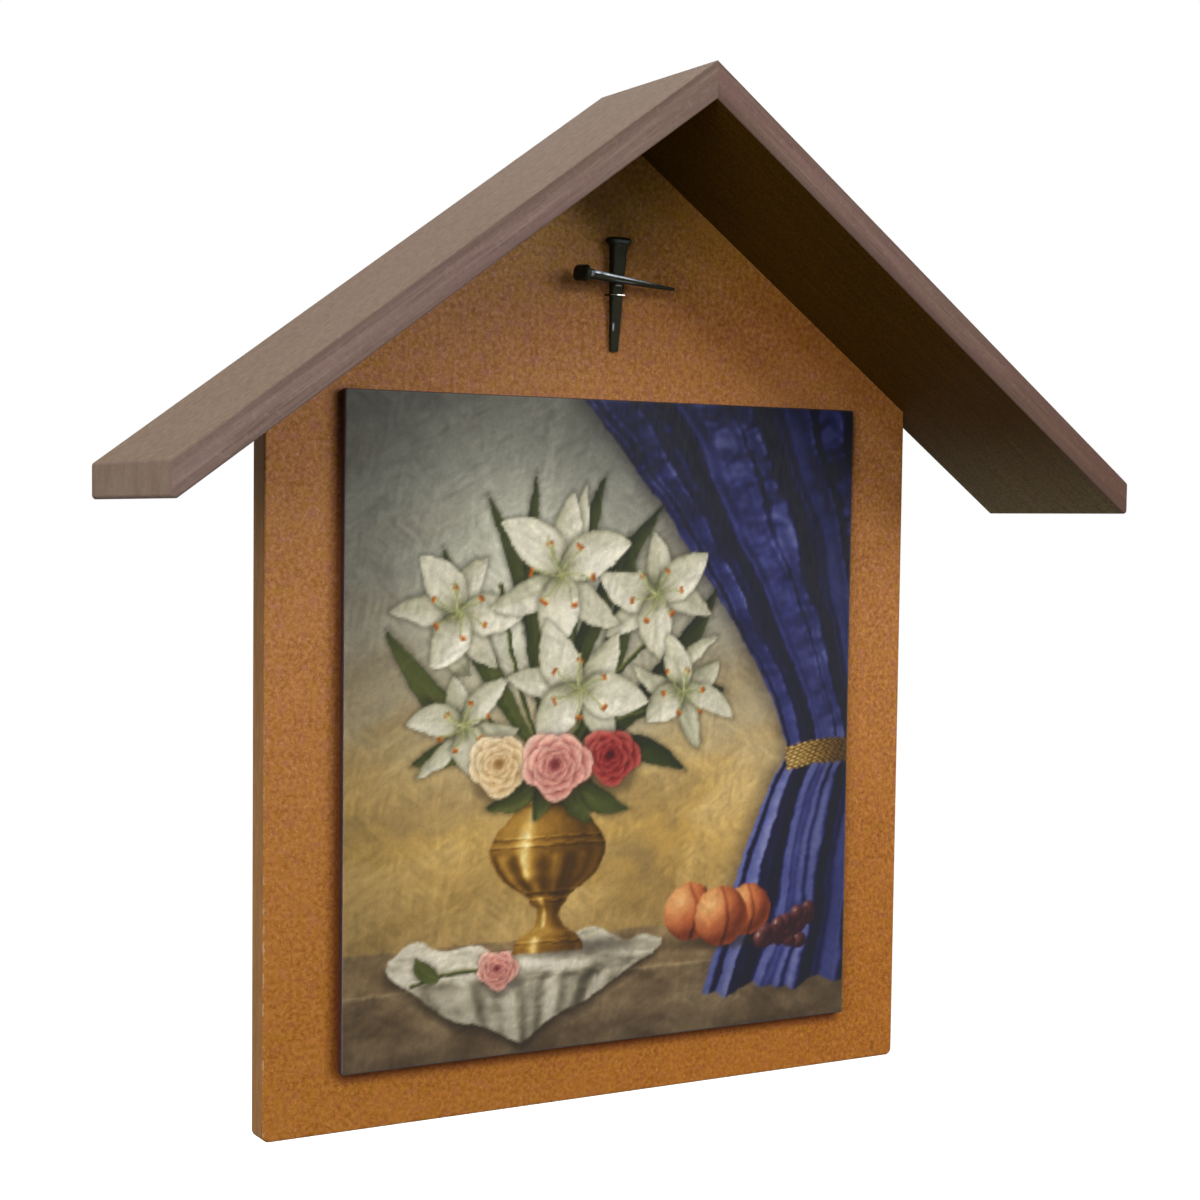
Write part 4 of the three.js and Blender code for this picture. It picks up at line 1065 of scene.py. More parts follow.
# %% Petals and stems
def petal(start, end, sag, half_width, tones, shade=0.0, throat=0.0, rib=0.10, fullness=0.85):
    """A leaf or petal: narrow at both ends, cupped along its rib, with fine streaks along its length."""
    spine = bend(start, end, sag)
    length = math.dist(start, end)
    window, x, z = around(*spine[len(spine) // 2], 0.65 * length + half_width)
    t, side = along(spine, x, z)
    outline = half_width * np.sin(np.pi * t ** fullness) ** 0.8
    place = side / (outline + 0.2)
    left = np.array((spine[0][1] - spine[-1][1], spine[-1][0] - spine[0][0])) / length
    facing = float(left @ (-0.75, 0.66))
    light = 0.72 - 0.20 * facing * place - shade
    light = light - rib * np.exp(-(place / 0.13) ** 2) * (1.1 - t)
    light = light + 0.12 * (cloud(place * 4 + 20, t * 2 + 20 + start[0], 14, 3) - 0.5)
    light = light - 0.16 * smooth(np.abs(place), 0.72, 1.0) - 0.12 * smooth(t, 0.86, 1.0)
    light = light - throat * smooth(t, 0.45, 0.05)
    lay(0.34 * smooth(np.abs(side) - outline, 4.5, -1.0) * smooth(t, 0.0, 0.2), (30, 28, 20), window)
    body = smooth(np.abs(side) - outline, 0.45, -0.45)
    lay(body, shades(np.clip(light, 0, 1), tones), window)


def stem(start, end, sag, half_width, tones):
    """A round stem or filament of even width, lit from the left."""
    spine = bend(start, end, sag)
    window, x, z = around(*spine[len(spine) // 2], 0.65 * math.dist(start, end) + 3)
    t, side = along(spine, x, z)
    body = smooth(np.abs(side) - half_width, 0.5, -0.5) * smooth(t, 0.0, 0.02) * smooth(t, 1.0, 0.98)
    lay(body, shades(np.clip(0.55 + 0.35 * side / half_width, 0, 1), tones), window)


print("petals and stems are drawn along", len(bend((0, 0), (1, 0), 0)), "points")

# %% Leaves
LEAF = {
    0.0: (16, 18, 10), 0.3: (34, 40, 20), 0.55: (62, 70, 34), 0.8: (108, 112, 60),
    1.0: (168, 164, 104),
}
for end, sag, width in (
    ((-168, 66), 0.10, 9), ((-150, -22), -0.12, 10), ((-128, 118), 0.05, 8), ((-96, 152), -0.06, 7),
    ((-6, 168), 0.05, 8), ((40, 148), 0.08, 8), ((84, 92), -0.08, 9), ((92, 20), 0.12, 10),
    ((58, -34), 0.16, 9), ((-142, 22), 0.06, 9), ((12, 128), -0.10, 9), ((-60, 166), 0.04, 7),
):
    shade = 0.22 + 0.0012 * (end[0] + 60)
    petal((-46, -30), end, sag, width, LEAF, shade=shade, rib=-0.14, fullness=1.25)
for end, sag in (
    ((-104, 20), 0.05), ((-30, 122), -0.04), ((46, 66), 0.08), ((-86, 96), 0.04), ((30, 8), 0.1),
):
    stem((-46, -36), end, sag, 1.7, LEAF)
tell("leaves")

# %% A lily
LILY = {
    0.0: (70, 72, 52), 0.25: (122, 124, 98), 0.5: (186, 185, 162), 0.7: (220, 218, 202),
    0.88: (243, 241, 230), 1.0: (253, 252, 246),
}
STYLE = {0.0: (120, 128, 74), 1.0: (222, 224, 176)}
FILAMENT = {0.0: (96, 104, 54), 1.0: (206, 210, 150)}
ANTHER = {0.0: (96, 44, 12), 0.5: (168, 88, 26), 1.0: (222, 150, 62)}


def lily(x0, z0, size, turn, squash, shade=0.0):
    """Six petals about a throat, three narrow ones behind three broad ones, with stamens and a style."""
    def place(angle, reach):
        across, up = reach * math.cos(angle), reach * squash * math.sin(angle)
        tilt = math.radians(turn)
        return (
            x0 + across * math.cos(tilt) - up * math.sin(tilt),
            z0 + across * math.sin(tilt) + up * math.cos(tilt),
        )

    for offset, width in ((math.pi / 3, 0.20), (0.0, 0.27)):
        for third in (1, 0, 2):
            angle = offset + third * 2 * math.pi / 3 + 0.3
            seen = 0.55 + 0.45 * abs(math.sin(angle)) if squash < 0.8 else 1.0
            start, end = place(angle + math.pi, 0.06 * size), place(angle, size)
            sag = 0.09 * math.cos(2 * angle + turn)
            dark = shade + (0.10 if offset else 0.0)
            petal(start, end, sag, width * size * seen, LILY, dark, throat=0.34)
    window, x, z = around(x0, z0, 0.5 * size)
    lay(0.55 * np.exp(-((x - x0) ** 2 + (z - z0) ** 2) / (0.11 * size) ** 2), (104, 112, 54), window)
    for sixth in range(6):
        angle = sixth * math.pi / 3 + 0.75
        tip = place(angle, 0.40 * size)
        stem((x0, z0), tip, 0.10, 0.55, FILAMENT)
        stem(tip, place(angle + 0.24, 0.41 * size), 0.0, 1.5, ANTHER)
    stem((x0, z0), place(1.9, 0.5 * size), 0.05, 0.9, STYLE)


print("a lily has petals in", len(LILY), "tones")

# %% Lilies
for end, sag, width in (
    ((-132, 62), 0.05, 6.5), ((50, 106), -0.06, 6.5), ((-22, 160), 0.03, 6.0), ((84, 58), 0.05, 6),
):
    base = (end[0] * 0.72 - 12, end[1] * 0.70 - 8)
    petal(base, end, sag, width, LILY, shade=0.16, throat=0.30)
lily(34, 86, 50, 20, 0.86, 0.06)
lily(-116, 76, 50, -15, 0.80, 0.04)
lily(56, 20, 47, -38, 0.74, 0.12)
lily(-112, 2, 47, 30, 0.72, 0.08)
lily(-40, 100, 58, 5, 0.95)
lily(-26, 24, 56, -24, 0.84, 0.02)
tell("lilies")

# %% A rose
ROSE_PETALS = 24
GOLDEN_ANGLE = 2.39996


def rose(x0, z0, size, tones):
    """Cupped petals laid from the rim inwards, each a golden angle on from the last."""
    window, x, z = around(x0, z0, 1.3 * size)
    lay(0.4 * smooth(np.hypot(x - x0 - 2, z - z0 + 3) / size, 1.25, 0.75), (20, 14, 10), window)
    for step in range(ROSE_PETALS):
        left = 1 - step / ROSE_PETALS
        angle = GOLDEN_ANGLE * step
        middle_x = x0 + 0.58 * size * left * math.cos(angle)
        middle_z = z0 + 0.50 * size * left * math.sin(angle)
        cup = size * (0.20 + 0.34 * left)
        out = np.hypot(x - middle_x, (z - middle_z) * 1.06) / cup
        out = out + 0.10 * (cloud(x / 9 + step, z / 9, 15, 2) - 0.5)
        away = ((x - middle_x) * math.cos(angle) + (z - middle_z) * math.sin(angle)) / cup
        light = 0.30 + 0.30 * smooth(out, 0.3, 0.95) + 0.24 * away
        light = light + 0.10 * (middle_z - z0 - middle_x + x0) / size
        light = light - 0.16 * (1 - left) + 0.06 * (cloud(x / 3, z / 3, 16, 2) - 0.5)
        lay(0.25 * smooth(out, 1.22, 0.95), tuple(tones[0.0]), window)
        lay(smooth(out, 1.03, 0.96), shades(np.clip(light, 0, 1), tones), window)


print("a rose has", ROSE_PETALS, "petals")

# %% Roses
PINK = {
    0.0: (92, 34, 40), 0.3: (158, 84, 84), 0.55: (206, 138, 128), 0.8: (236, 190, 174),
    1.0: (250, 226, 212),
}
CREAM = {
    0.0: (120, 84, 46), 0.3: (178, 142, 92), 0.55: (220, 192, 146), 0.8: (242, 224, 190),
    1.0: (252, 244, 224),
}
CRIMSON = {
    0.0: (44, 8, 14), 0.3: (98, 24, 30), 0.55: (146, 48, 48), 0.8: (190, 96, 86), 1.0: (226, 158, 142),
}
for end, sag, width in (
    ((-96, -52), 0.1, 9), ((14, -58), -0.1, 9), ((-60, -62), 0.05, 8), ((-16, -66), -0.06, 8),
):
    petal((-46, -24), end, sag, width, LEAF, shade=0.16, rib=-0.14, fullness=1.0)
rose(-2, -22, 22, CRIMSON)
rose(-86, -24, 23, CREAM)
rose(-44, -26, 26, PINK)
tell("roses")

# %% [markdown]
# ### Fruit and a cut rose
# Peaches and grapes lie at the foot of the curtain, and a cut rose lies on the linen. Fruit could be
# painted as flat shapes and shaded by hand. A ball lit by a formula is round at once, and the same brush
# serves for both fruits. The rose is the one from the urn, only smaller.

# %% A round fruit
def ball(x0, z0, size, tones, cleft=0.0, squash=1.0, seed=20):
    """A round fruit or drop, lit from the upper left, with a reflected light below and a soft cleft."""
    window, x, z = around(x0, z0, 1.1 * size)
    right, up = (x - x0) / size, (z - z0) / (size * squash)
    out = np.hypot(right, up)
    front = np.sqrt(np.clip(1 - out ** 2, 0, 1))
    light = 0.16 + 0.60 * np.clip(0.62 * front - 0.52 * right + 0.50 * up, 0, 1)
    light = light + 0.12 * smooth(out, 0.75, 1.0) * smooth(right - up, 0.2, 1.2)
    light = light + 0.30 * np.exp(-((right + 0.36) ** 2 + (up - 0.40) ** 2) / 0.03) * (1 - 0.6 * cleft)
    light = light - cleft * np.exp(-((right - 0.25 + 0.25 * up ** 2) / 0.06) ** 2) * 0.22
    light = light + 0.10 * (cloud(x / 6, z / 6, seed, 4) - 0.5)
    lay(smooth(out, 1.02, 0.98), shades(np.clip(light, 0, 1), tones), window)


print("fruit is lit from the upper left")

# %% Fruit and a cut rose on the ledge
PEACH = {
    0.0: (58, 26, 16), 0.25: (120, 56, 34), 0.5: (188, 108, 66), 0.72: (222, 164, 106),
    1.0: (248, 220, 170),
}
GRAPE = {
    0.0: (20, 10, 14), 0.3: (48, 22, 28), 0.6: (92, 50, 52), 0.85: (158, 118, 112), 1.0: (236, 218, 206),
}
lay(0.6 * smooth(np.hypot((X - 96) / 66, (Z + 153) / 9), 1.1, 0.3), (26, 18, 12))
for x0, z0, size, seed in ((64, -132, 21, 21), (112, -134, 19, 22), (90, -137, 22, 23)):
    ball(x0, z0, size, PEACH, cleft=1.0, squash=0.95, seed=seed)
GRAPES = 22
for grape in range(GRAPES):
    down = grape / (GRAPES - 1)
    swing = math.sin(2.4 * grape) * (1 - down) + 0.25 * math.cos(5 * grape)
    ball(164 - 40 * down + 3 * swing, -146 - 9 * down + 11 * swing, 6.2, GRAPE, seed=30 + grape)
stem((-150, -164), (-96, -158), 0.05, 1.4, LEAF)
petal((-128, -161), (-146, -146), 0.1, 6, LEAF, shade=0.1, rib=-0.14)
rose(-86, -158, 15, PINK)
tell("fruit")

# %% [markdown]
# ### Varnish
# Old paint has broken edges, brush marks, the weave of its canvas, and varnish that has browned most at
# the rim. These could be a second picture laid over the first. Here the canvas itself is pushed about by
# noise and multiplied by strokes, weave and varnish, so that they follow every tone that is there.

# %% Broken edges
push_x = np.rint(3.2 * (cloud(X / 7, Z / 7, 24, 2) - 0.5)).astype(int)
push_z = np.rint(3.2 * (cloud(X / 7, Z / 7, 25, 2) - 0.5)).astype(int)
rows, columns = np.indices(X.shape)
rows = np.clip(rows + push_z, 0, X.shape[0] - 1)
columns = np.clip(columns + push_x, 0, X.shape[1] - 1)
canvas = canvas[rows, columns]
print("edges pushed by at most", np.abs(push_x).max(), "points")

# %% Brush marks and varnish
VARNISH = np.array((0.99, 0.97, 0.93))
region = cloud(X / 30 + 40, Z / 30 + 40, 40, 3)
strokes = 0.0
for angle, seed, centre in ((0.5, 17, 0.38), (1.4, 41, 0.50), (2.5, 42, 0.62)):
    lengthways = X * math.cos(angle) + Z * math.sin(angle)
    crossways = Z * math.cos(angle) - X * math.sin(angle)
    here = np.exp(-((region - centre) / 0.09) ** 2)
    strokes = strokes + here * (cloud(lengthways / 13 + 60, crossways / 2.8 + 60, seed, 3) - 0.5)
weave = cloud(X / 1.6, Z / 1.6, 18, 2) - 0.5
canvas = canvas * (1 + 0.30 * strokes + 0.15 * weave)[..., None]
edge = np.maximum(np.abs(X) / film_half[0], np.abs(Z) / film_half[1])
canvas = canvas * (1 - 0.18 * smooth(edge, 0.6, 1.0))[..., None] * VARNISH
tell("varnish")

# %% [markdown]
# ## Printed film
# The film is a thin sheet with the painting printed on it. The painting could be an image on the
# unwrapped sheet. Instead the front is a fine grid, and each point takes the colour of the painting
# there, so that no image has to be kept. A fine grain and the relief of brush strokes are added in its
# finish, which is satin. About a millimetre at the rim is a shade paler, where the trimmed film shows
# its white core.

# %% Helper for new pieces
def make_piece(name, points, faces, node, material):
    """A mesh at the origin, its faces turned outwards, that stands for a CAD node and takes a finish."""
    mesh = bpy.data.meshes.new(name)
    mesh.from_pydata(points.tolist(), [], faces)
    drawn = bmesh.new()
    drawn.from_mesh(mesh)
    bmesh.ops.recalc_face_normals(drawn, faces=drawn.faces)
    drawn.to_mesh(mesh)
    drawn.free()
    mesh.shade_smooth()
    mesh.materials.append(material)
    made = bpy.data.objects.new(name, mesh)
    bpy.context.scene.collection.objects.link(made)
    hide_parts(node)
    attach(made, "root")
    return made


print("a new piece rides on the body root, in the place of its CAD node")

# %% Grid of the film
CORNER_DRAW_IN = 0.3 * MM


def film_points():
    """A grid of x and z on the film's front, drawn in at its four corners, and its rim at the back."""
    low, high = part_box("picture_film")
    x, z = np.meshgrid(np.linspace(low[0], high[0], COLUMNS), np.linspace(low[2], high[2], ROWS))
    for row in (0, -1):
        for column in (0, -1):
            x[row, column] -= math.copysign(CORNER_DRAW_IN, x[row, column])
            z[row, column] += CORNER_DRAW_IN if row == 0 else -CORNER_DRAW_IN
    front = np.stack([x, np.full_like(x, low[1]), z], axis=-1).reshape(-1, 3)
    grid = np.arange(ROWS * COLUMNS).reshape(ROWS, COLUMNS)
    rim = np.concatenate([grid[0, :-1], grid[:-1, -1], grid[-1, :0:-1], grid[:0:-1, 0]])
    back = front[rim].copy()
    back[:, 1] = high[1]
    return front, back, grid, rim


def film_faces(grid, rim):
    """Front squares, the thin sides, and the back as one face."""
    corners = [grid[:-1, :-1], grid[:-1, 1:], grid[1:, 1:], grid[1:, :-1]]
    front = np.stack(corners, axis=-1).reshape(-1, 4)
    behind = grid.size + np.arange(len(rim))
    sides = np.stack([rim, behind, np.roll(behind, -1), np.roll(rim, -1)], axis=-1)
    return front.tolist() + sides.tolist() + [behind[::-1].tolist()]


front_points, back_points, film_grid, film_rim = film_points()
print("film with", len(front_points), "points on its front")

# %% Colours of the film
FILM_CORE = (0.62, 0.62, 0.60)
TRIM_SHARE = 0.05


def film_colours():
    """The painting at the grid's points, with the trimmed rim mixed in. Screen colours become linear
    ones: a straight line near black, and a power curve above it."""
    shown = np.clip(canvas, 0, 1).reshape(ROWS, FINER, COLUMNS, FINER, 3).mean(axis=(1, 3))
    linear = np.where(shown <= 0.04045, shown / 12.92, ((shown + 0.055) / 1.055) ** 2.4)
    rim = np.zeros((ROWS, COLUMNS, 1))
    rim[[0, -1], :] = TRIM_SHARE
    rim[:, [0, -1]] = TRIM_SHARE
    return linear * (1 - rim) + np.array(FILM_CORE) * rim


tints = np.ones((len(front_points) + len(back_points), 4))
tints[:len(front_points), :3] = film_colours().reshape(-1, 3)
tints[len(front_points):, :3] = FILM_CORE
print("mean linear colour of the film:", tints[:len(front_points), :3].mean(axis=0).round(3))


# %% Film with the painting
def film_finish():
    """The painting's colours with a fine grain, under satin with the relief of strokes and grain."""
    material, tree, out = new_material("print_film")
    print_colour = add(tree, "Attribute", {}, "Color", attribute_name="painting")
    place = millimetres(tree)
    grain = noise(tree, place, 0.7, 2.0, 0.6)
    strokes = noise(tree, stretched(tree, place, (0.5, 0.5, 0.12)), 1.0, 4.0, 0.6)
    base = mix(tree, ramp(tree, grain, 0.3, 0.7, 0.0, 0.16), print_colour, BLACK)
    height = sums(tree, "ADD", sums(tree, "MULTIPLY", grain, 0.3), strokes)
    surface(tree, out, {
        "Base Color": base, "Roughness": ramp(tree, strokes, 0.3, 0.7, 0.46, 0.62),
        "Normal": bump(tree, height, 0.20, 0.2 * MM), "Specular IOR Level": 0.15,
    })
    return material


film = make_piece(
    "printed_film", np.concatenate([front_points, back_points]), film_faces(film_grid, film_rim),
    "picture_film", film_finish(),
)
layer = film.data.color_attributes.new("painting", "FLOAT_COLOR", "POINT")
layer.data.foreach_set("color", tints.ravel())
print("film:", len(film.data.polygons), "faces")

# %% [markdown]
# ## Nail cross
# Two cut nails make the cross. A cut nail is sheared from plate, so its shank is a tapering bar with four
# flat faces, and its head is struck up hot. The faces are a little uneven and black with scale. The
# corners are dull, and the front faces are rubbed bare in a few places, set where they give painted
# highlights and glints. The nails could be sculpted, but then they might swell past the CAD solids. So
# each skin is a rounded rectangle carried along the nail's own axis. The axis and the sizes along it are
# measured from the solid, and the unevenness goes inwards.

# %% Helpers for rings and CAD points
def ring_faces(rings, sides):
    """Faces between rings that follow each other along a piece, with the first and last ring closed."""
    ring, side = np.meshgrid(np.arange(rings - 1), np.arange(sides), indexing="ij")
    after = (side + 1) % sides
    this, following = ring * sides, (ring + 1) * sides
    quads = np.stack([this + side, this + after, following + after, following + side], axis=-1)
    first = list(range(sides))[::-1]
    last = list(range((rings - 1) * sides, rings * sides))
    return quads.reshape(-1, 4).tolist() + [first, last]


def cad_points(name):
    """The corner points of a CAD node in metres, in the shared frame."""
    mesh = nodes[name].data
    points = np.empty(3 * len(mesh.vertices))
    mesh.vertices.foreach_get("co", points)
    world = np.array(nodes[name].matrix_world)
    return points.reshape(-1, 3) @ world[:3, :3].T + world[:3, 3]


def cad_triangles(name):
    """The triangles of a CAD node, as an array of three corners each."""
    mesh = nodes[name].data
    mesh.calc_loop_triangles()
    corners = np.empty(3 * len(mesh.loop_triangles), dtype=int)
    mesh.loop_triangles.foreach_get("vertices", corners)
    return cad_points(name)[corners].reshape(-1, 3, 3)


print("upright nail with", len(cad_triangles("upright_nail")), "CAD triangles")


# %% A solid's own axes
def own_axes(name):
    """Centre and axes, longest first, from the second moments of the solid's surface. Each triangle gives
    its area / 12 times the sum of the corners' outer products and nine times that of the middle."""
    corners = cad_triangles(name)
    edges = corners[:, 1:] - corners[:, :1]
    areas = np.linalg.norm(np.cross(edges[:, 0], edges[:, 1]), axis=1) / 2
    middles = corners.mean(axis=1)
    centre = (areas[:, None] * middles).sum(axis=0) / areas.sum()
    corners, middles = corners - centre, middles - centre
    moments = np.einsum("t,tci,tcj->ij", areas, corners, corners)
    moments = (moments + 9 * np.einsum("t,ti,tj->ij", areas, middles, middles)) / 12
    axes = np.linalg.eigh(moments)[1].T[::-1]
    axes[2] = np.cross(axes[0], axes[1])
    return centre, axes


print("axis of the upright nail:", own_axes("upright_nail")[1][0].round(3))

# %% Sizes along a nail
LEVEL_SLACK = 2e-5
FLAT_SLACK = 2e-6


def nail_sizes(name):
    """The nail's centre and axes, and level by level from tip to head its half width, half thickness,
    corner radius and middle. The corner radius is what the flat face lacks of the whole width."""
    centre, axes = own_axes(name)
    local = (cad_points(name) - centre) @ axes.T
    middle = (local[:, 0].min() + local[:, 0].max()) / 2
    upper = np.abs(local[local[:, 0] > middle, 1]).max()
    lower = np.abs(local[local[:, 0] < middle, 1]).max()
    if upper < lower:
        axes[:2] = -axes[:2]
        local[:, :2] = -local[:, :2]
    levels = np.unique(local[:, 0].round(5))
    sizes = []
    for level in levels:
        points = local[np.abs(local[:, 0] - level) < LEVEL_SLACK, 1:]
        half = np.ptp(points, axis=0) / 2
        mid = (points.min(axis=0) + points.max(axis=0)) / 2
        on_flat = np.abs(points[:, 1] - mid[1]) > half[1] - FLAT_SLACK
        radius = half[0] - np.abs(points[on_flat, 0] - mid[0]).max()
        sizes.append((*half, radius, *mid))
    return centre, axes, levels, np.array(sizes)


print("upright nail measured at", len(nail_sizes("upright_nail")[2]), "levels")

# %% Rounded rectangle
ARC_POINTS, FLAT_POINTS = 8, 8
NAIL_SIDES = 4 * (ARC_POINTS + FLAT_POINTS)


def rounded_rectangle(wide, thick, radius):
    """Points round a rectangle with round corners, ring by ring: a quarter circle at each corner, then
    even steps along the flat to the next one. Also how far round its corner each point lies, which is 0
    on the flats."""
    quarter = np.linspace(0, np.pi / 2, ARC_POINTS)
    corners = []
    for corner, (right, up) in enumerate(((1, 1), (-1, 1), (-1, -1), (1, -1))):
        turn = quarter + corner * np.pi / 2
        x = right * (wide - radius) + radius * np.cos(turn)
        z = up * (thick - radius) + radius * np.sin(turn)
        corners.append(np.stack([x, z], axis=-1))
    step = (np.arange(FLAT_POINTS) + 1)[:, None] / (FLAT_POINTS + 1)
    ring, bent = [], []
    for corner in range(4):
        last, following = corners[corner][:, -1:], corners[(corner + 1) % 4][:, :1]
        ring += [corners[corner], last + (following - last) * step]
        bent += [np.sin(2 * quarter), np.zeros(FLAT_POINTS)]
    return np.concatenate(ring, axis=1), np.concatenate(bent)


def ring_normals(ring):
    """The way out of each ring at its points: the way along the ring, turned by a right angle."""
    onward = np.roll(ring, -1, axis=1) - np.roll(ring, 1, axis=1)
    out = np.stack([onward[..., 1], -onward[..., 0]], axis=-1)
    return out / np.linalg.norm(out, axis=-1, keepdims=True)


print("a nail's ring has", NAIL_SIDES, "points")

# %% Hammered unevenness
NAIL_RINGS = 180


def hammer_waves(place, seed):
    """Slow waves along and round a nail, at shares of its length: a sum of sines with random starts, each
    the smaller the more turns it makes along and round the nail."""
    angle = np.linspace(0, 2 * np.pi, NAIL_SIDES, endpoint=False)
    waves = np.zeros((NAIL_RINGS, NAIL_SIDES))
    chance = np.random.default_rng(seed)
    for turns in (1, 2, 3, 5):
        for length in (3, 7, 13):
            start = chance.uniform(0, 2 * np.pi)
            waves += np.sin(turns * angle + 2 * np.pi * length * place + start) / (turns * length) ** 0.5
    return waves


print("waves on", NAIL_RINGS, "rings of", NAIL_SIDES, "points")

# %% Nail skins
HAMMERED = 0.05
END_ROUND = 0.5 * MM


def nail_points(name, seed):
    """The rounded rectangle carried along the nail. Slow waves along and round the nail draw the faces in
    here and there, and the ends are drawn in to round them. Also, for each point, the way out, the way
    to it from the nail's middle and how far round its corner it lies. Also each ring's place from the
    tip to the head."""
    centre, axes, levels, sizes = nail_sizes(name)
    along_nail = np.linspace(levels[0], levels[-1], NAIL_RINGS)
    wide, thick, radius, off_x, off_z = (
        np.interp(along_nail, levels, column)[:, None] for column in sizes.T
    )
    ring, bent = rounded_rectangle(wide, thick, radius)
    waves = hammer_waves(along_nail[:, None] / (levels[-1] - levels[0]), seed)
    draw = 1 - HAMMERED * (waves - waves.min()) / np.ptp(waves)
    from_end = np.minimum(along_nail - levels[0], levels[-1] - along_nail)[:, None]
    draw = draw * (1 - 0.12 * np.exp(-from_end / END_ROUND))
    local = np.stack([
        np.broadcast_to(along_nail[:, None], waves.shape),
        off_x + ring[..., 0] * draw,
        off_z + ring[..., 1] * draw,
    ], axis=-1)
    level = np.zeros((NAIL_RINGS, NAIL_SIDES, 1))
    outward = np.concatenate([level, ring_normals(ring)], axis=-1) @ axes
    from_middle = np.concatenate([level, ring], axis=-1) @ axes
    from_tip = (along_nail - levels[0]) / (levels[-1] - levels[0])
    points = (centre + local @ axes).reshape(-1, 3)
    return points, outward, from_middle, np.tile(bent, NAIL_RINGS), from_tip


print("a nail's skin has", NAIL_RINGS * NAIL_SIDES, "points")

# %% Rubbed places as painted highlights
BAND_FADE = 0.12


def highlight_band(outward, from_middle, from_tip, side, band, stretch):
    """1 in a band on the front of the nail, between two shares of the way from its middle to one side.
    It fades in and out along the nail, between the first two and the last two places of the stretch.
    The bands are set where their bare metal gives painted highlights and glints."""
    reach = from_middle @ np.array(side)
    share = reach / np.abs(reach).max(axis=1, keepdims=True)
    across = smooth(share, band[0] - BAND_FADE, band[0] + BAND_FADE)
    across = across * smooth(share, band[1] + BAND_FADE, band[1] - BAND_FADE)
    on_front = smooth(-outward[..., 1], 0.5, 0.7)
    lengthways = smooth(from_tip, *stretch[:2]) * smooth(from_tip, stretch[3], stretch[2])
    return across * on_front * lengthways[:, None]


print("rubbed bands fade over", 2 * BAND_FADE, "of a half width")

# %% Black iron finish
SCALE_BLACK = colour(0.007, 0.007, 0.005)
SCALE_BROWN = colour(0.018, 0.016, 0.009)
BARE_IRON = colour(0.50, 0.54, 0.60)
OLIVE_SHEEN = colour(0.92, 0.96, 0.62)


def black_iron_finish():
    """Black scale with an olive sheen, dullest on the corners, and bare where the nail is rubbed, in
    bands that are set as painted highlights.
    """
    material, tree, out = new_material("black_iron")
    place = millimetres(tree)
    patches = noise(tree, place, 3.5, 4.0, 0.6)
    fine = noise(tree, place, 0.5, 3.0, 0.6)
    scale = mix(tree, ramp(tree, patches, 0.45, 0.75), SCALE_BLACK, SCALE_BROWN)
    corner = add(tree, "Attribute", {}, "Fac", attribute_name="corner")
    rubbed = add(tree, "Attribute", {}, "Fac", attribute_name="rubbed")
    # Bare metal in the rubbed bands: painted highlights.
    bare = sums(tree, "MULTIPLY", rubbed, ramp(tree, patches, 0.25, 0.50))
    base = mix(tree, bare, scale, BARE_IRON)
    scaly = ramp(tree, fine, 0.3, 0.7, 0.24, 0.44)
    dull = ramp(tree, corner, 0.0, 0.8, 0.0, 0.4)
    surface(tree, out, {
        "Base Color": base, "Metallic": bare, "Roughness": sums(tree, "ADD", scaly, dull),
        "Normal": bump(tree, fine, 0.35, 0.3 * MM), "Specular IOR Level": 0.12,
        "Specular Tint": OLIVE_SHEEN,
    })
    return material


iron = black_iron_finish()
print("black iron with", len(iron.node_tree.nodes), "nodes")

# %% Two nails
NAILS = {
    # name: (seed, rubs as side, band towards that side, stretch from tip to head and how far bare)
    "upright_nail": (5, (
        ((-1.0, 0.0, 0.0), (0.38, 0.66), (0.175, 0.20, 0.235, 0.26), 0.55),
        ((1.0, 0.0, 0.0), (-0.75, 0.65), (0.945, 0.955, 0.97, 0.98), 0.10),
    )),
    "crossbar_nail": (8, (
        ((0.0, 0.0, 1.0), (0.15, 0.80), (0.05, 0.60, 0.86, 0.90), 0.9),
        ((0.0, 0.0, 1.0), (-0.70, -0.52), (0.40, 0.50, 0.62, 0.72), 0.30),
        ((0.0, 0.0, 1.0), (-0.55, 0.45), (0.88, 0.90, 0.915, 0.935), 0.30),
    )),
}
# Each rub is a band of bare iron set as a painted highlight or glint.
for nail, (seed, rubs) in NAILS.items():
    skin, outward, from_middle, corner, from_tip = nail_points(nail, seed)
    made = make_piece(nail + "_skin", skin, ring_faces(NAIL_RINGS, NAIL_SIDES), nail, iron)
    rubbed = sum(bare * highlight_band(outward, from_middle, from_tip, *rub).ravel() for *rub, bare in rubs)
    for label, values in (("corner", corner), ("rubbed", rubbed)):
        made.data.attributes.new(label, "FLOAT", "POINT").data.foreach_set("value", values)
    print(made.name, "with", len(made.data.polygons), "faces")

# %% [markdown]
# ## Braze and staple
# Two small fillets of braze hold the crossbar, and a bright wire staple goes over the upright into the
# board. The fillets could be drawn anew, but they are small and only look melted, so the CAD solids are
# remeshed fine and smoothed. The staple could be a curve with a round bevel. Here it is a circle carried
# along two legs and a crown with bent corners, which takes its sizes straight from the CAD node.

# %% Bare metal
# Painted shade that dims the wire's left part.
LEFT_PAINTED_SHADE = colour(0.050, 0.046, 0.024)
# A place to the left of the whole shrine
NOWHERE = -1.0


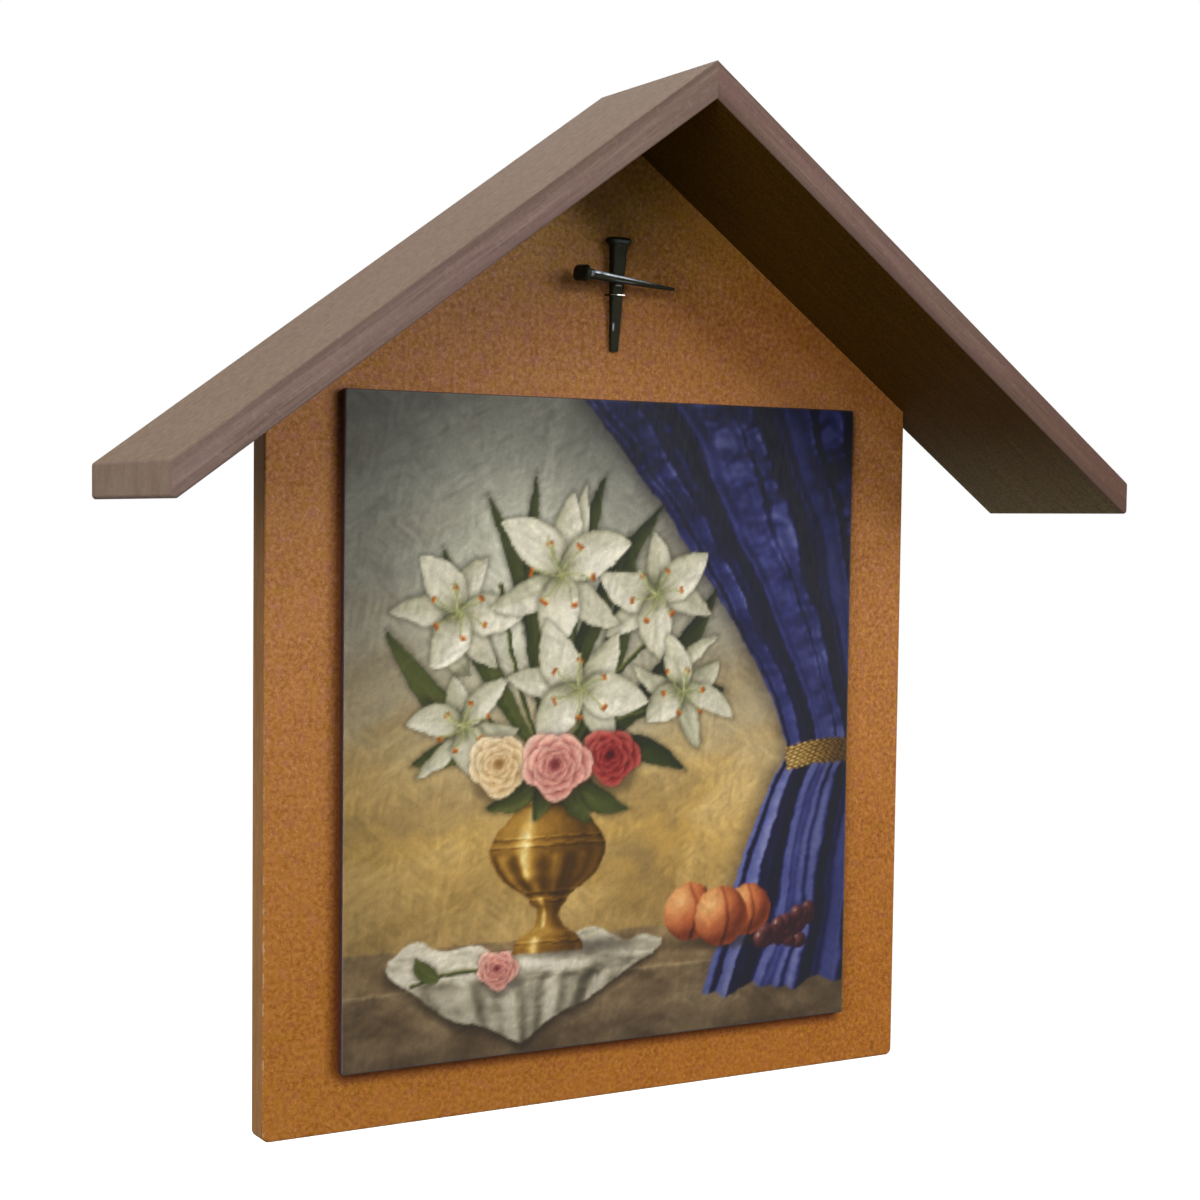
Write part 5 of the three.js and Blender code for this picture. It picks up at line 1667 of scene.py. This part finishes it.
def bare_metal_finish(name, bright, dull, patch_size, smoothest, roughest, painted_shade_left_of=NOWHERE):
    """Bare metal with duller, rougher patches, darkened by painted shade to the left of a place in
    metres.
    """
    material, tree, out = new_material(name)
    place = millimetres(tree)
    patches = noise(tree, place, patch_size, 4.0, 0.62)
    base = mix(tree, ramp(tree, patches, 0.40, 0.70), bright, dull)
    x = parts_of(tree, "Object")["X"]
    # Painted shade to the left of the given place.
    base = mix(tree, ramp(tree, x, painted_shade_left_of + MM, painted_shade_left_of - MM), base, LEFT_PAINTED_SHADE)
    surface(tree, out, {
        "Base Color": base, "Metallic": 1.0, "Normal": bump(tree, patches, 0.15, 0.2 * MM),
        "Roughness": ramp(tree, patches, 0.35, 0.70, smoothest, roughest),
    })
    return material


print("bare metal finish ready for braze, wire and zinc")

# %% Braze beads
BEAD_VOXEL = 0.11 * MM
BRAZE = colour(0.14, 0.13, 0.10)
BRAZE_DULL = colour(0.06, 0.055, 0.04)
braze = bare_metal_finish("braze", BRAZE, BRAZE_DULL, 1.4, 0.20, 0.45)
for bead in ("braze_bead_lower", "braze_bead_upper"):
    remesh = nodes[bead].modifiers.new("melt", "REMESH")
    remesh.mode = "VOXEL"
    remesh.voxel_size = BEAD_VOXEL
    remesh.use_smooth_shade = True
    soften = nodes[bead].modifiers.new("soften", "SMOOTH")
    soften.iterations = 6
    dress(bead, braze)
print("two beads melted at", round(BEAD_VOXEL / MM, 2), "mm")

# %% Route of the staple
WIRE_BEND = 1.6 * MM
BEND_POINTS = 14


def staple_route(low, high, radius):
    """Points along the wire: out along one leg, round a quarter circle, across the nail, round another
    quarter circle, and back along the other leg."""
    leg, front, end = high[0] - radius, low[1] + radius, high[1]
    quarter = np.linspace(0, np.pi / 2, BEND_POINTS)
    bend_x = leg - WIRE_BEND + WIRE_BEND * np.sin(quarter)
    bend_y = front + WIRE_BEND - WIRE_BEND * np.cos(quarter)
    half_x = np.concatenate([np.linspace(0, bend_x[0], 8)[1:-1], bend_x, np.full(6, leg)])
    half_y = np.concatenate([np.full(6, front), bend_y, np.linspace(bend_y[-1], end, 7)[1:]])
    return np.concatenate([-half_x[::-1], half_x]), np.concatenate([half_y[::-1], half_y])


print("bends of", WIRE_BEND / MM, "mm in", BEND_POINTS, "points")

# %% Wire staple
WIRE_SIDES = 24
WIRE_BRIGHT = colour(0.82, 0.81, 0.78)
WIRE_DULL = colour(0.55, 0.53, 0.50)
# The wire is dimmed by painted shade to the left of this place.
WIRE_SHADED_LEFT_OF = -1.2 * MM


def staple_points():
    """A circle carried along the route, square to it: the route lies in a level plane, so one radius of
    the circle is upright and the other is the route's level normal."""
    low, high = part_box("wire_staple")
    radius = (high[2] - low[2]) / 2
    x, y = staple_route(low, high, radius)
    run_x, run_y = np.gradient(x), np.gradient(y)
    size = np.hypot(run_x, run_y)
    angle = np.linspace(0, 2 * np.pi, WIRE_SIDES, endpoint=False)
    level, upright = radius * np.cos(angle), radius * np.sin(angle)
    points = np.stack([
        x[:, None] + (run_y / size)[:, None] * level,
        y[:, None] - (run_x / size)[:, None] * level,
        np.broadcast_to((low[2] + high[2]) / 2 + upright, (len(x), WIRE_SIDES)),
    ], axis=-1)
    return points.reshape(-1, 3), len(x)


wire_skin, wire_rings = staple_points()
bright_wire = bare_metal_finish(
    "bright_wire", WIRE_BRIGHT, WIRE_DULL, 2.5, 0.12, 0.30, WIRE_SHADED_LEFT_OF
)
wire_faces = ring_faces(wire_rings, WIRE_SIDES)
make_piece("staple_wire", wire_skin, wire_faces, "wire_staple", bright_wire)
print("staple with", wire_rings, "rings")

# %% [markdown]
# ## Hidden hardware
# On the back are two keyhole hangers, let in flush, with two countersunk screws each, and four pocket
# screws that go up into the roof. A screw could be built with Blender's screw modifier, but its sizes
# would have to be written a second time. Here it is turned: its outline is read from the CAD solid, level
# by level, and spun. A cross recess is pressed into its head, and the thread is a ridge that winds round
# the shank inside the outline.

# %% Outline of a screw
ROUNDING = 1e-6


def screw_outline(name):
    """The screw's centre and axes, and its outline as levels and radii from the middle of the head to
    the point. Where a level has two radii, the one nearer to the last comes first. Points that lie on
    the one before are left out."""
    centre, axes = own_axes(name)
    local = cad_points(name) - centre
    level = local @ axes[0]
    radius = np.linalg.norm(local - np.outer(level, axes[0]), axis=1)
    at_top = radius[np.abs(level - level.max()) < LEVEL_SLACK].max()
    at_bottom = radius[np.abs(level - level.min()) < LEVEL_SLACK].max()
    if at_top < at_bottom:
        level, axes = -level, -axes
        axes[2] = -axes[2]
    outline = []
    last = 0.0
    for height in np.unique(level.round(5))[::-1]:
        found = np.unique(radius[np.abs(level - height) < LEVEL_SLACK].round(5))
        for size in sorted((found[0], found[-1]), key=lambda value: abs(value - last)):
            outline.append((height, size))
        last = outline[-1][1]
    outline = np.array(outline)
    lengths = np.linalg.norm(np.diff(outline, axis=0), axis=1)
    return centre, axes, outline[np.concatenate([[True], lengths > ROUNDING])]


screws = [name for name in nodes if "_screw_" in name]
for screw in screws:
    print(screw, "has an outline of", len(screw_outline(screw)[2]), "points")

# %% Turned screws
SCREW_SIDES = 48
OUTLINE_STEP = 0.16 * MM
THREAD_PITCH = 1.4 * MM
THREAD_DEPTH = 0.24
THREAD_START = 2 * MM
THREAD_RUN_OUT = 1.5 * MM


def fine_outline(outline):
    """Heights and radii along the outline at its corners and at short steps between, without its ends."""
    lengths = np.linalg.norm(np.diff(outline, axis=0), axis=1)
    travelled = np.concatenate([[0.0], np.cumsum(lengths)])
    steps = np.unique(np.concatenate([travelled, np.arange(0, travelled[-1], OUTLINE_STEP)]))[1:-1]
    return [np.interp(steps, travelled, column)[:, None] for column in outline.T]


def threaded_radius(outline, height, radius, angle):
    """The radius, drawn in along a helix on the shank: by the cosine of the angle less the height over
    the pitch. The outline starts at the middle of the head, which is no part of the shank."""
    shank = outline[-2, 1]
    skip = 1 if outline[0, 1] < ROUNDING else 0
    shank_top = outline[np.flatnonzero(outline[:, 1] <= shank + ROUNDING)[skip], 0]
    threaded = np.clip((shank_top - THREAD_START - height) / THREAD_RUN_OUT, 0, 1)
    ridge = 0.5 + 0.5 * np.cos(angle - 2 * np.pi * height / THREAD_PITCH)
    return radius * (1 - threaded * THREAD_DEPTH * (1 - ridge ** 2))


print("threads with a pitch of", round(THREAD_PITCH / MM, 2), "mm")

# %% Cross recess
RECESS_WIDTH = 0.17
RECESS_REACH = 0.62
RECESS_DEPTH = 0.9 * MM
HEAD_TOP = 0.8 * MM


def recess(first, second, head):
    """How far the head sinks, from 0 to 1: on two crossed bars, fading at their sides and ends."""
    bar = np.minimum(np.abs(first), np.abs(second)) / (RECESS_WIDTH * head)
    reach = np.maximum(np.abs(first), np.abs(second)) / (RECESS_REACH * head)
    return np.clip(1.8 - 1.4 * bar, 0, 1) * np.clip((1 - reach) / 0.25, 0, 1)


def screw_points(name):
    """The outline spun about the axis, with its thread, and with the recess pressed into its top."""
    centre, axes, outline = screw_outline(name)
    height, radius = fine_outline(outline)
    angle = np.linspace(0, 2 * np.pi, SCREW_SIDES, endpoint=False)
    spun = threaded_radius(outline, height, radius, angle)
    first, second = spun * np.cos(angle), spun * np.sin(angle)
    sunk = recess(first, second, outline[:, 1].max()) * (height > outline[0, 0] - HEAD_TOP)
    level = np.broadcast_to(height, spun.shape) - RECESS_DEPTH * sunk
    local = np.stack([level, first, second], axis=-1)
    return (centre + local @ axes).reshape(-1, 3), len(height)


print("recess", round(RECESS_DEPTH / MM, 2), "mm deep")

# %% Screws and hangers
ZINC = colour(0.60, 0.61, 0.62)
ZINC_DULL = colour(0.38, 0.39, 0.40)
zinc = bare_metal_finish("zinc_steel", ZINC, ZINC_DULL, 5.0, 0.28, 0.48)
for screw in screws:
    skin, rings = screw_points(screw)
    make_piece(screw + "_turned", skin, ring_faces(rings, SCREW_SIDES), screw, zinc)
for hanger in ("keyhole_hanger_left", "keyhole_hanger_right"):
    dress(hanger, zinc)
print(len(screws), "screws turned")

# %% [markdown]
# ## Dowels
# Three beech dowels hold the mitre and can't be seen while it is closed. A plain colour would do. The
# wood grain group is at hand, though, so they get its pores, for views that take the shrine apart.

# %% Dowels
BEECH = colour(0.52, 0.36, 0.20)
BEECH_DARK = colour(0.36, 0.22, 0.11)


def dowel_finish():
    """Bare beech, with short dark pores along the grain."""
    material, tree, out = new_material("dowel_wood")
    place = millimetres(tree)
    grain = use_group(tree, wood_grain, Vector=place, Heart=(0.0, 40.0, 40.0), Ring_width=3.0)
    base = mix(tree, sums(tree, "MULTIPLY", grain["Pores"], 0.8), BEECH, BEECH_DARK)
    surface(tree, out, {"Base Color": base, "Roughness": 0.7})
    return material


beech = dowel_finish()
DOWEL_ROWS = ("front", "middle", "rear")
for row in DOWEL_ROWS:
    dress("ridge_dowel_" + row, beech)
print(len(DOWEL_ROWS), "dowels finished")
